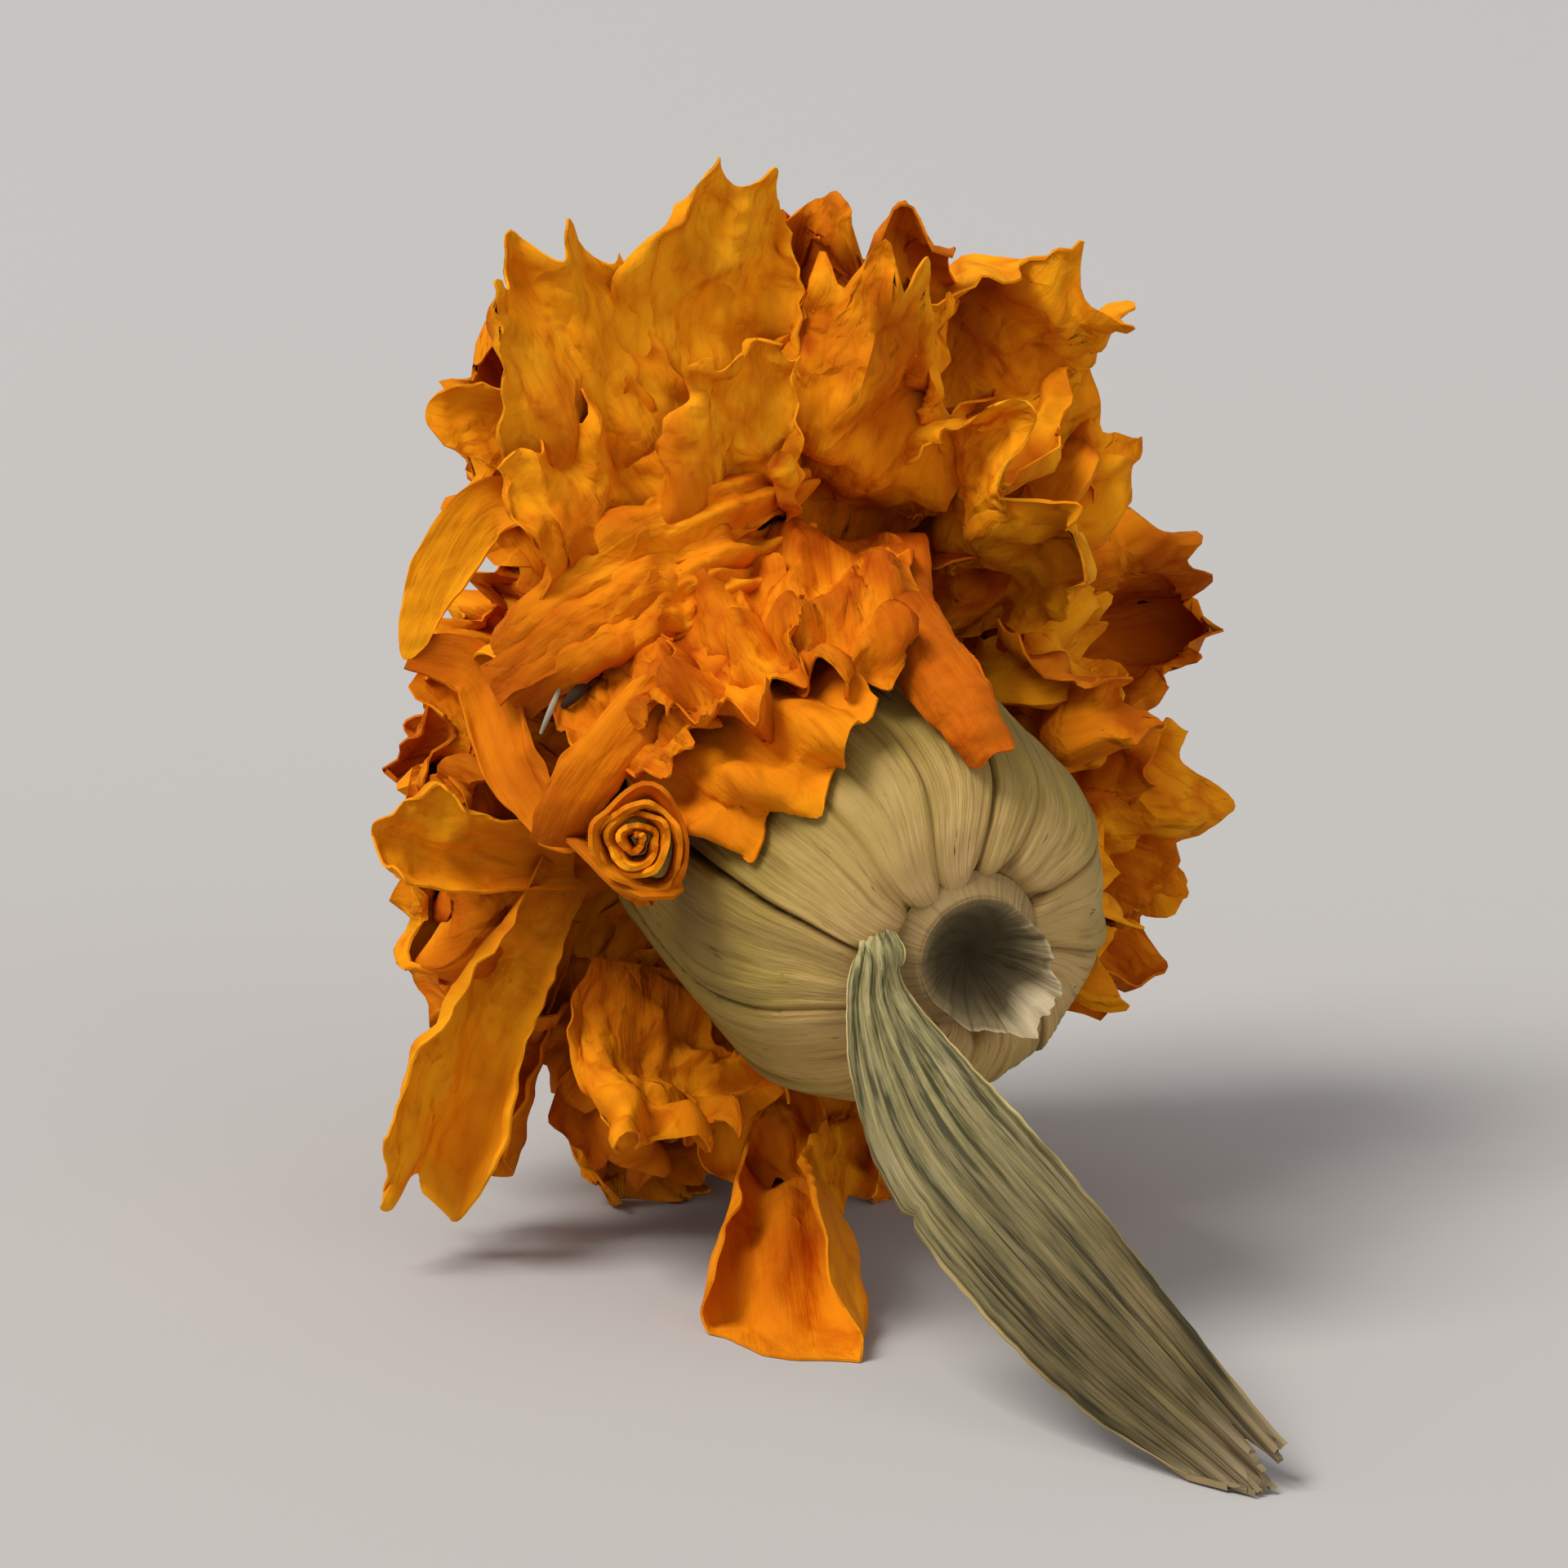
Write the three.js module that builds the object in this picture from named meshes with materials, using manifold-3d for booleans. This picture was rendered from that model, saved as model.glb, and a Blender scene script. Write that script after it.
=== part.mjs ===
// A marigold flower head, picked, dried and crumpled, with a short broken stem and one leaf.
// It lies on its lowest petals and on the tip of the leaf. Millimetres, +Z up; the origin is on
// the floor, under the middle of the flower's box.

import * as THREE from 'three';
import { mergeVertices } from 'three/addons/utils/BufferGeometryUtils.js';
import Module from 'manifold-3d';

const wasm = await Module();
wasm.setup();

// The middle of the cup's base, and how far the head is turned left and raised, in degrees.
const BASE_PLACE = [4.8, -6.5, 13.6];
const HEAD_TURN = 26.3;
const HEAD_RISE = 5.9;

// Between two pieces, and through a petal.
const GAP = 0.3;
const BLADE = 0.63;

// The cup of fused bracts: its outline as radius and height, the degrees round at which the bracts
// meet, the grooves there, its wall and teeth.
const CUP_OUTLINE = [[2.4, 0], [4.6, 0.45], [6.4, 2.3], [7.3, 5.6], [7.2, 9.4], [6.6, 13.2]];
const CUP_SEAMS = [-18, 14, 48, 75, 103, 122, 158, 194, 230, 268, 305];
const CUP_GROOVE = { depth: 0.5, half: 11 };
const CUP_WALL = 0.95;
const CUP_FLOOR = 1.3;
const CUP_TOOTH = 1.7;
const CUP_STEPS = { around: 60, up: 9 };

// The packed floret bases, which fill the cup and carry the petals, and the well for the disc.
const CORE_OUTLINE = [
  [4.7, 11.4], [4.75, 13.6], [5.4, 15.2], [7.0, 17.2], [7.5, 19.8], [6.6, 22.0], [5.2, 23.2],
];
const CORE_AROUND = 20;
const WELL = { radius: 4.5, floor: 20.4, mouth: 28 };

// Rings of petals from the outside in. Root: radius and height. Lean: degrees from the axis.
// Length: millimetres, and a share of what is left to the head's outline. Bends: place along the
// petal, degrees and radius. Open: degrees round from the left, up being 90, between which single
// petals take the ring's place. The first ring is folded back over the cup.
const RINGS = [
  {
    count: 10, root: [4.2, 15.5], lean: 80, length: [9.5, 0.22], width: 7.6, open: [-50, 122],
    bends: [[0.26, -84, 2.0], [0.7, 16, 3.0]],
  },
  {
    count: 10, root: [4.4, 16.3], lean: 80, length: [2, 0.84], width: 8.6, open: [-62, 104],
    bends: [[0.3, -40, 3.0], [0.72, 34, 2.5]],
  },
  {
    count: 10, root: [4.8, 17.4], lean: 72, length: [1, 0.98], width: 8.6, open: [20, 66],
    bends: [[0.4, -18, 3.5], [0.8, -42, 2.2]],
  },
  {
    count: 8, root: [4.9, 18.6], lean: 60, length: [1, 0.86], width: 8.2, open: [20, 40],
    bends: [[0.45, 20, 3.5], [0.76, -58, 2.0]],
  },
  {
    count: 7, root: [5.0, 19.8], lean: 44, length: [3, 0.5], width: 7.4, open: [0, 0],
    bends: [[0.5, 26, 3.0], [0.8, -50, 2.0]],
  },
  {
    count: 5, root: [5.4, 20.8], lean: 26, length: [5, 0.1], width: 5.6, open: [0, 0],
    bends: [[0.55, 34, 2.5]],
  },
];
const PETAL_STEPS = { across: 3, along: 4 };
const PETAL_SEED = 20423;

// Petals that stand out one by one. Path: degrees round from the left, radius and height. Widths are
// spread along it. Side: the way the width lies, or else it lies round the axis. Arch: how far the
// middle stands over the sides. Ruffle: height and number of the waves at the tip.
const SINGLES = [
  // Folded back over the cup: the crumpled pair, the wavy one under it and the finger.
  {
    path: [[66, 7, 17], [62, 9.4, 14], [55, 9.6, 9.5], [50, 9.3, 4.4]],
    widths: [4.5, 7, 7.4, 5], ruffle: [0.5, 3],
  },
  {
    path: [[98, 7, 17], [92, 9.3, 14.5], [81, 9.6, 9], [71, 9.2, 4]],
    widths: [4, 6.4, 6.8, 5], ruffle: [0.5, 2],
  },
  {
    path: [[46, 7, 17], [42, 9.6, 13.5], [38, 9.9, 9.6], [38, 9.7, 6]],
    widths: [3.4, 4.6, 4.6, 3.4], ruffle: [0.4, 1],
  },
  {
    path: [[52, 7, 16], [47, 8.6, 12], [47, 8.5, 6.5], [49, 7.9, 1.6]],
    widths: [4, 6.4, 7.6, 7.2], ruffle: [0.8, 3],
  },
  {
    path: [[118, 7, 17], [112, 9.4, 14.5], [95, 9.1, 8], [93, 8.3, 3.4], [101, 6.2, 0.6]],
    widths: [2.6, 3.2, 3, 3, 2.8], arch: 0.8,
  },
  // The two arms folded to a V at the left, the strip beyond them and the lobe under them.
  {
    path: [[7, 10.4, 10.2], [18, 10.6, 9.4], [30, 10.5, 8.8], [44, 10.4, 8.6]],
    widths: [1.8, 2.2, 2.2, 1.8], side: [0.75, 0.38, 0.54],
  },
  {
    path: [[26, 13.8, 17.4], [27, 11.8, 16], [16, 10.7, 13.4], [7, 9.5, 11]],
    widths: [1.4, 2, 2.2, 1.6], side: [0.72, -0.61, 0.11],
  },
  {
    path: [[58, 11, 16], [49, 14.6, 17], [37, 14.3, 17.5], [26, 13.9, 17.4]],
    widths: [1.6, 1.9, 2, 1.1], side: [0.71, 0.41, 0.54],
  },
  {
    path: [[-8, 7, 15.5], [-3, 11.2, 15.6], [1.5, 13.8, 16]],
    widths: [4, 3.2, 3.6], arch: 0.5,
  },
  // Down to the floor at the left, under the cup, on the floor under it and down at the right.
  {
    path: [[-14, 7.5, 16], [-30, 11.5, 15.8], [-46, 18, 16.4]],
    widths: [2.4, 3.4, 4.2], arch: 0.7,
  },
  {
    path: [[-30, 8, 16], [-44, 11.8, 15.6], [-54, 16.2, 15.6]],
    widths: [2.2, 3.4, 4.0], arch: -0.5,
  },
  {
    path: [[-50, 7, 15], [-56, 9.4, 12.6], [-64, 10.6, 9.8]],
    widths: [4, 6.5, 7], side: [0.98, 0.2, 0], ruffle: [0.7, 3],
  },
  {
    path: [[-92, 7, 16], [-88, 10.2, 12.4], [-80, 11.6, 8], [-70, 14.8, 0]],
    widths: [3, 2.6, 3.6, 8.6], side: [0.62, -0.08, 0.78], arch: 1.2,
  },
  {
    path: [[-112, 7, 16.5], [-114, 12, 16], [-115, 17.2, 15.5]],
    widths: [4, 5.6, 4.6], arch: 0.6,
  },
  // Two wide margins curled over the mouth of the cup.
  {
    path: [[55, 6, 18], [55, 9.4, 16.2], [55, 9.9, 13.6]],
    widths: [5, 10, 11.2], side: [-0.97, 0.23, 0],
  },
  {
    path: [[62, 6, 18.5], [62, 9.8, 17], [62, 10.4, 14.8]],
    widths: [5, 9, 10.4], side: [-0.96, 0.27, 0],
  },
  // The tall ones: a square one with a flap, one with two peaks, and two crumpled ones before them.
  {
    path: [[64, 7.5, 17], [64, 14, 15.8], [66.5, 21.8, 17]],
    widths: [4, 7, 5.4], side: [1, 0.1, 0], ruffle: [0.4, 2],
  },
  {
    path: [[66, 11, 16.5], [58, 15.5, 17.2], [51, 18.2, 18]],
    widths: [3.5, 3.4, 2.2], arch: 0.4,
  },
  {
    path: [[82, 7.5, 17], [80, 13, 15.8], [83, 18, 16.4], [87, 21.8, 17]],
    widths: [4, 7, 7.2, 4.4], ruffle: [0.5, 2],
  },
  {
    path: [[80, 8, 16.5], [80, 12.3, 13.8], [83, 17, 14.6]],
    widths: [5, 5.6, 3.6], arch: 0.6,
  },
  {
    path: [[62, 8, 16.5], [60, 12.2, 14.3], [62, 16.6, 15.3]],
    widths: [5, 7.4, 6.4], ruffle: [0.5, 3],
  },
];
const SINGLE_STEPS = { across: 3, along: 5 };

// The petal rolled up against the cup: where its end lies, the way the roll looks, and its turns.
const ROLL = {
  root: [4, 8.4, 14], place: [17, 9.7, 6.2], looks: [0.43, 0.35, -0.83],
  radius: 1.6, turns: 1.4, width: 3.0, steps: { across: 1, along: 14 },
};

// The head's outline round its axis, left at 0 and up at 90 degrees: mean radius, its changes, and
// the notch at the left, in degrees.
const REACH = { mean: 16.75, left: -2.4, up: 3.25, tall: -2.0, notch: 3, notchAt: 25, notchWide: 20 };

// The broken stem, below the cup.
const STEM = { outer: 2.0, flare: 2.25, inner: 1.35, length: 0.35, torn: 1.9, around: 24, tear: 225 };

// The leaf: its middle line from the foot of the cup to the floor, its widths and its relief.
const LEAF_PATH = [
  [-3.0, -2.5, 0.7], [-3.0, -2.75, -0.9], [-2.2, -3.6, -3.0], [-0.8, -5.2, -5.2],
  [2.0, -8.6, -7.7], [5.0, -12.0, -10.1], [9.2, -16.0, -13.1],
];
const LEAF_WIDTHS = [1.3, 2.0, 3.6, 4.8, 5.0, 4.4, 2.8];
const LEAF_SIDE = [0.74, 0.17, 0.65];
const LEAF_THICK = 0.62;
const LEAF_GUTTER = 0.5;
const LEAF_RIB = 0.14;
const LEAF_STEPS = { across: 10, along: 16 };

// The disc florets in the middle of the face: a low dome of small tubes.
const DISC = { radius: 4.1, foot: 20.7, shoulder: 22.9, crown: 24.0, florets: 40, rise: 1.5, girth: 0.5 };
const GOLDEN_ANGLE = Math.PI * (3 - Math.sqrt(5));

const COLOURS = { petal: 0xe08a1a, disc: 0x6b3216, cup: 0xb4ab78, stem: 0x8f9078, leaf: 0x7f8a66 };

const radians = THREE.MathUtils.degToRad;
const smooth = THREE.MathUtils.smoothstep;
const mix = THREE.MathUtils.lerp;
const AXIS = new THREE.Vector3(0, 0, 1);

// Evenly spread numbers from 0 to 1, the same each run.
function randomSource(seed) {
  let state = seed >>> 0;
  return () => {
    state = (state + 0x6d2b79f5) >>> 0;
    let t = Math.imul(state ^ (state >>> 15), state | 1);
    t = (t + Math.imul(t ^ (t >>> 7), t | 61)) ^ t;
    return ((t ^ (t >>> 14)) >>> 0) / 4294967296;
  };
}

function geometryOf(points, triangles) {
  const geometry = new THREE.BufferGeometry();
  geometry.setAttribute('position', new THREE.Float32BufferAttribute(points.flat(), 3));
  geometry.setIndex(triangles.flat());
  return geometry;
}

function solidOf(geometry) {
  const bare = geometry.clone();
  bare.deleteAttribute('normal');
  bare.deleteAttribute('uv');
  const merged = mergeVertices(bare, 1e-5);
  return new wasm.Manifold(new wasm.Mesh({
    numProp: 3,
    vertProperties: new Float32Array(merged.attributes.position.array),
    triVerts: new Uint32Array(merged.index.array),
  }));
}

function geometryFrom(solid) {
  const mesh = solid.getMesh();
  const geometry = new THREE.BufferGeometry();
  geometry.setAttribute('position', new THREE.BufferAttribute(new Float32Array(mesh.vertProperties), 3));
  geometry.setIndex(new THREE.BufferAttribute(new Uint32Array(mesh.triVerts), 1));
  geometry.computeVertexNormals();
  return geometry;
}

function largestPiece(solid) {
  return solid.decompose().reduce((best, piece) => (piece.volume() > best.volume() ? piece : best));
}

// A closed skin from loops of points that follow each other round the wall of a hollow shape.
function closedLoops(loops) {
  const around = loops[0].length;
  const triangles = [];
  for (let i = 0; i < loops.length; i += 1) {
    const row = i * around;
    const next = ((i + 1) % loops.length) * around;
    for (let j = 0; j < around; j += 1) {
      const k = (j + 1) % around;
      triangles.push([row + j, row + k, next + k], [row + j, next + k, next + j]);
    }
  }
  return geometryOf(loops.flat(), triangles);
}

// A loop round the axis, from the height and the radius at each angle.
function loopAt(around, height, radius) {
  return Array.from({ length: around }, (_, j) => {
    const angle = 2 * Math.PI * j / around;
    const r = radius(angle);
    return [r * Math.cos(angle), r * Math.sin(angle), height(angle)];
  });
}

// A thin blade, both faces split alike, about a sheet given as a point for u from -1 to 1 and v to 1.
function bladeGeometry(sheet, { across, along }, thickness) {
  const step = 1e-3;
  const front = [];
  const back = [];
  for (let i = 0; i <= along; i += 1) {
    for (let j = 0; j <= across; j += 1) {
      const u = 2 * j / across - 1;
      const v = i / along;
      const aside = sheet(u + step, v).sub(sheet(u - step, v));
      const ahead = sheet(u, Math.min(v + step, 1)).sub(sheet(u, Math.max(v - step, 0)));
      const half = aside.cross(ahead).setLength(thickness / 2);
      front.push(sheet(u, v).add(half).toArray());
      back.push(sheet(u, v).sub(half).toArray());
    }
  }
  const row = across + 1;
  const under = front.length;
  const triangles = [];
  for (let i = 0; i < along; i += 1) {
    for (let j = 0; j < across; j += 1) {
      const a = i * row + j;
      const [b, c, d] = [a + 1, a + row + 1, a + row];
      triangles.push([a, b, c], [a, c, d]);
      triangles.push([a + under, c + under, b + under], [a + under, d + under, c + under]);
    }
  }
  const rim = [];
  for (let j = 0; j < across; j += 1) rim.push(j);
  for (let i = 0; i < along; i += 1) rim.push(i * row + across);
  for (let j = across; j > 0; j -= 1) rim.push(along * row + j);
  for (let i = along; i > 0; i -= 1) rim.push(i * row);
  rim.forEach((a, index) => {
    const b = rim[(index + 1) % rim.length];
    triangles.push([a, a + under, b + under], [a, b + under, b]);
  });
  return geometryOf([...front, ...back], triangles);
}

function reachAt(angle) {
  const degrees = THREE.MathUtils.radToDeg(angle) - REACH.notchAt;
  const round = THREE.MathUtils.euclideanModulo(degrees + 180, 360) - 180;
  return REACH.mean + REACH.left * Math.cos(angle) + REACH.up * Math.sin(angle)
    + REACH.tall * Math.cos(2 * angle) - REACH.notch * Math.exp(-((round / REACH.notchWide) ** 2));
}

// Bends space beyond a line across a flat petal, which lies at a height along it and is skewed.
function bend(point, { at, skew, angle, radius }) {
  const s = (point.y - at) * Math.cos(skew) - point.x * Math.sin(skew);
  if (s <= 0) return point;
  const t = point.x * Math.cos(skew) + (point.y - at) * Math.sin(skew);
  const centre = Math.sign(angle) * radius;
  const turn = Math.sign(angle) * Math.min(s / radius, Math.abs(angle));
  const beyond = Math.max(s - Math.abs(angle) * radius, 0);
  const reach = (centre - point.z) * Math.sin(turn) + beyond * Math.cos(turn);
  const lift = centre - (centre - point.z) * Math.cos(turn) + beyond * Math.sin(turn);
  return new THREE.Vector3(
    t * Math.cos(skew) - reach * Math.sin(skew),
    at + t * Math.sin(skew) + reach * Math.cos(skew),
    lift,
  );
}

// What is drawn by lot for one petal of a ring.
function drawPetal(ring, index, random) {
  const angle = 2 * Math.PI * (index + 0.7 * (random() - 0.5)) / ring.count + ring.root[1];
  const [fixed, share] = ring.length;
  const length = (fixed + share * (reachAt(angle) - ring.root[0])) * (0.84 + 0.26 * random());
  return {
    angle,
    root: ring.root,
    length,
    lean: radians(ring.lean + 14 * (random() - 0.5)),
    width: ring.width * (0.85 + 0.3 * random()),
    twist: radians(36 * (random() - 0.5)),
    pleats: 1.2 + 1.4 * random(),
    phase: 2 * Math.PI * random(),
    relief: 0.5 + 0.7 * random(),
    bends: ring.bends.map(([at, turn, radius]) => ({
      at: length * (at + 0.1 * (random() - 0.5)),
      skew: radians(44 * (random() - 0.5)),
      angle: radians(turn + 36 * (random() - 0.5)),
      radius,
    })).reverse(),
  };
}

// Whether a ring has its petal at an index, and not a single one there.
function standsInRing({ count, root, open }, index) {
  const degrees = THREE.MathUtils.radToDeg(2 * Math.PI * index / count + root[1]);
  const from = THREE.MathUtils.euclideanModulo(degrees - open[0], 360);
  return from >= open[1] - open[0];
}

function petalPoint(petal, u, v) {
  const half = petal.width / 2 * mix(0.28, 1, smooth(v, 0, 0.62)) * (1 - 0.28 * smooth(v, 0.82, 1));
  const wave = petal.relief * smooth(v, 0.15, 0.8) * Math.cos(Math.PI * petal.pleats * u + petal.phase);
  const flat = new THREE.Vector3(u * half, v * petal.length * (1 - 0.1 * u * u * v), wave);
  const bent = petal.bends.reduce(bend, flat);
  const out = new THREE.Vector3(Math.cos(petal.angle), Math.sin(petal.angle), 0);
  const aside = new THREE.Vector3(out.y, -out.x, 0);
  const ahead = out.clone().multiplyScalar(Math.sin(petal.lean)).addScaledVector(AXIS, Math.cos(petal.lean));
  const face = AXIS.clone().multiplyScalar(Math.sin(petal.lean)).addScaledVector(out, -Math.cos(petal.lean));
  return new THREE.Vector3(bent.x, 0, bent.z).applyAxisAngle(new THREE.Vector3(0, 1, 0), petal.twist)
    .applyMatrix4(new THREE.Matrix4().makeBasis(aside, ahead, face))
    .addScaledVector(ahead, bent.y)
    .addScaledVector(out, petal.root[0])
    .addScaledVector(AXIS, petal.root[1]);
}

const cupSpline = new THREE.SplineCurve(CUP_OUTLINE.map(([r, h]) => new THREE.Vector2(r, h)));

// The bract at an angle round the cup: its width and the place across it, in degrees.
function bractAt(angle) {
  const [first] = CUP_SEAMS;
  const degrees = THREE.MathUtils.euclideanModulo(THREE.MathUtils.radToDeg(angle) - first, 360) + first;
  const from = CUP_SEAMS.findLast((seam) => seam <= degrees + 1e-6);
  const to = CUP_SEAMS.find((seam) => seam > from) ?? first + 360;
  return { width: to - from, across: degrees - from };
}

// The cup's outside radius at a share of its outline, in the grooves between its bracts too.
function cupRadius(share, angle) {
  const { width, across } = bractAt(angle);
  const near = Math.min(across, width - across) / CUP_GROOVE.half;
  return cupSpline.getPoint(share).x - CUP_GROOVE.depth * Math.max(1 - near, 0) ** 2 * smooth(share, 0, 0.3);
}

function cupTooth(angle) {
  const { width, across } = bractAt(angle);
  return CUP_TOOTH * (1 - Math.abs(2 * across / width - 1)) ** 0.8;
}

function cupSolid() {
  const { around, up } = CUP_STEPS;
  const rim = cupSpline.getPoint(1).y;
  const loops = [loopAt(around, () => 0, () => 0.7)];
  for (let i = 0; i <= up; i += 1) {
    loops.push(loopAt(around, () => cupSpline.getPoint(i / up).y, (angle) => cupRadius(i / up, angle)));
  }
  const tip = (angle) => rim + cupTooth(angle);
  loops.push(loopAt(around, tip, (angle) => cupRadius(1, angle) - 0.1));
  loops.push(loopAt(around, tip, (angle) => cupRadius(1, angle) - 0.72));
  for (let i = up; i >= 0; i -= 1) {
    const { x, y } = cupSpline.getPoint(i / up);
    if (y > CUP_FLOOR) loops.push(loopAt(around, () => y - 0.2, () => x - CUP_GROOVE.depth - CUP_WALL));
  }
  loops.push(loopAt(around, () => CUP_FLOOR, () => 3.4), loopAt(around, () => CUP_FLOOR, () => 0.7));
  return solidOf(closedLoops(loops));
}

function latheSolid(outline, around) {
  const points = [[0, outline[0][1]], ...outline, [0, outline.at(-1)[1]]];
  const lathe = new THREE.LatheGeometry(points.map(([r, h]) => new THREE.Vector2(r, h)), around);
  return solidOf(lathe.rotateX(Math.PI / 2));
}

// The space that the cup and the gap round it take, which no petal enters.
function cupSpace() {
  const [foot, rim] = [cupSpline.getPoint(0), cupSpline.getPoint(1)];
  const outline = [[foot.x, -GAP]];
  for (let i = 0; i <= CUP_STEPS.up; i += 1) {
    const { x, y } = cupSpline.getPoint(i / CUP_STEPS.up);
    outline.push([x + GAP, y]);
  }
  outline.push([rim.x + GAP, rim.y + CUP_TOOTH + GAP], [CORE_OUTLINE[0][0], rim.y + CUP_TOOTH + GAP]);
  return latheSolid(outline, CUP_STEPS.around);
}

// The packed bases of the florets: one body from the cup's floor up to the well in the face.
function coreSolid() {
  const inside = [[3.0, CUP_FLOOR + GAP]];
  for (let i = 1; i <= CUP_STEPS.up; i += 1) {
    const { x, y } = cupSpline.getPoint(i / CUP_STEPS.up);
    const radius = x - CUP_GROOVE.depth - CUP_WALL - GAP;
    if (y > CUP_FLOOR + 1 && y < CORE_OUTLINE[0][1] - 1) inside.push([radius, y]);
  }
  return latheSolid([...inside, ...CORE_OUTLINE], CORE_AROUND);
}

function headPoint([round, radius, height]) {
  return new THREE.Vector3(radius * Math.cos(radians(round)), radius * Math.sin(radians(round)), height);
}

// A petal along a path in the head, as a sheet of points.
function singleSheet({ path, widths, side, arch = 0, ruffle = [0, 1] }) {
  const curve = new THREE.CatmullRomCurve3(path.map(headPoint), false, 'catmullrom');
  const spread = new THREE.SplineCurve(widths.map((width, index) => new THREE.Vector2(index, width)));
  return (u, v) => {
    const middle = curve.getPoint(v);
    const ahead = curve.getTangent(v);
    const across = side ? new THREE.Vector3(...side) : new THREE.Vector3(-middle.y, middle.x, 0).normalize();
    across.addScaledVector(ahead, -across.dot(ahead)).normalize();
    const face = ahead.clone().cross(across);
    const half = spread.getPoint(v).y / 2;
    const rise = arch * (0.5 - u * u) * smooth(v, 0, 0.4)
      + ruffle[0] * Math.cos(Math.PI * ruffle[1] * u + 0.6) * smooth(v, 0.3, 1);
    return middle.addScaledVector(across, u * half).addScaledVector(face, rise)
      .addScaledVector(ahead, -0.12 * half * u * u);
  };
}

// The rolled petal: from its root to the roll, and then round it inwards.
function rollSheet({ root, place, looks, radius, turns, width }) {
  const centre = headPoint(place);
  const across = new THREE.Vector3(...looks).normalize();
  const start = headPoint(root).sub(centre);
  start.addScaledVector(across, -start.dot(across)).normalize();
  const beside = across.clone().cross(start);
  const points = [headPoint(root)];
  const around = Math.round(turns * 8);
  for (let i = 0; i <= around; i += 1) {
    const angle = Math.PI / 2 + 2 * Math.PI * turns * i / around;
    const r = radius * (1 - 0.55 * i / around);
    const point = centre.clone().addScaledVector(start, r * Math.cos(angle));
    points.push(point.addScaledVector(beside, r * Math.sin(angle)));
  }
  const curve = new THREE.CatmullRomCurve3(points, false, 'catmullrom');
  return (u, v) => curve.getPoint(v).addScaledVector(across, u * width / 2 * mix(0.6, 1, smooth(v, 0, 0.2)));
}

function petalSolids() {
  const random = randomSource(PETAL_SEED);
  const sheets = [];
  RINGS.forEach((ring) => {
    for (let index = 0; index < ring.count; index += 1) {
      const petal = drawPetal(ring, index, random);
      if (standsInRing(ring, index)) sheets.push([(u, v) => petalPoint(petal, u, v), PETAL_STEPS]);
    }
  });
  SINGLES.forEach((single) => sheets.push([singleSheet(single), SINGLE_STEPS]));
  sheets.push([rollSheet(ROLL), ROLL.steps]);
  return sheets.map(([sheet, steps]) => solidOf(bladeGeometry(sheet, steps, BLADE)));
}

function bloomSolid(floor) {
  const well = latheSolid([[WELL.radius, WELL.floor], [WELL.radius, WELL.mouth]], CORE_AROUND);
  const petals = wasm.Manifold.union(petalSolids()).subtract(cupSpace());
  const bloom = petals.add(coreSolid()).subtract(well).subtract(floor);
  return largestPiece(bloom.simplify(0.01));
}

// The disc: a low dome, with tubes on it set out like seeds.
function discSolid() {
  const { radius, foot, shoulder, crown, florets, rise, girth } = DISC;
  const dome = latheSolid([[radius, foot], [radius, shoulder], [radius * 0.6, crown - 0.3]], CORE_AROUND);
  const tubes = Array.from({ length: florets }, (_, index) => {
    const share = Math.sqrt((index + 0.5) / florets);
    const angle = index * GOLDEN_ANGLE;
    const tube = new THREE.CylinderGeometry(girth * 1.15, girth * 0.7, 2 * rise, 5);
    tube.rotateX(Math.PI / 2).rotateY(0.35 * share).rotateZ(angle);
    const place = share * (radius - girth);
    tube.translate(place * Math.cos(angle), place * Math.sin(angle), mix(crown, shoulder, share ** 2) + 0.2);
    return solidOf(tube);
  });
  return largestPiece(wasm.Manifold.union([dome, ...tubes]).simplify(0.02));
}

// The stub of the stem: a tube that flares under the cup and is torn off, longest on one side.
function stemSolid() {
  const { outer, flare, inner, length, torn, around, tear } = STEM;
  const top = () => -GAP;
  const cut = (angle) => {
    const side = 0.5 + 0.5 * Math.cos(angle - radians(tear));
    return -GAP - length - torn * side ** 3 - 0.16 * Math.sin(5 * angle) - 0.1 * Math.sin(11 * angle);
  };
  const spread = (angle) => 0.5 * (0.5 + 0.5 * Math.cos(angle - radians(tear))) ** 3;
  const loops = [
    loopAt(around, cut, (angle) => inner + 0.25 + spread(angle)),
    loopAt(around, cut, (angle) => outer + spread(angle)),
    loopAt(around, () => -GAP - 0.6 * length, () => outer),
    loopAt(around, top, () => flare),
    loopAt(around, top, () => inner),
  ];
  return solidOf(closedLoops(loops));
}

function leafSolid(floor) {
  const path = new THREE.CatmullRomCurve3(LEAF_PATH.map((point) => new THREE.Vector3(...point)));
  const widths = new THREE.SplineCurve(LEAF_WIDTHS.map((width, index) => new THREE.Vector2(index, width)));
  const side = new THREE.Vector3(...LEAF_SIDE).normalize();
  const sheet = (u, v) => {
    const tear = v > 0.9 ? 0.05 * Math.sin(9 * u + 1) : 0;
    const ahead = path.getTangent(v);
    const across = side.clone().addScaledVector(ahead, -side.dot(ahead)).normalize();
    const face = across.clone().cross(ahead);
    const half = widths.getPoint(v).y / 2;
    const rise = LEAF_GUTTER * u * u * smooth(v, 0, 0.3) + LEAF_RIB * Math.cos(Math.PI * 5 * u);
    return path.getPoint(v).addScaledVector(ahead, 20 * tear).addScaledVector(across, u * half)
      .addScaledVector(face, rise);
  };
  return solidOf(bladeGeometry(sheet, LEAF_STEPS, LEAF_THICK)).subtract(floor);
}

function piece(name, solid, colour, roughness) {
  const material = new THREE.MeshStandardMaterial({ color: colour, roughness, metalness: 0 });
  const mesh = new THREE.Mesh(geometryFrom(solid), material);
  mesh.name = name;
  return mesh;
}

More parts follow.
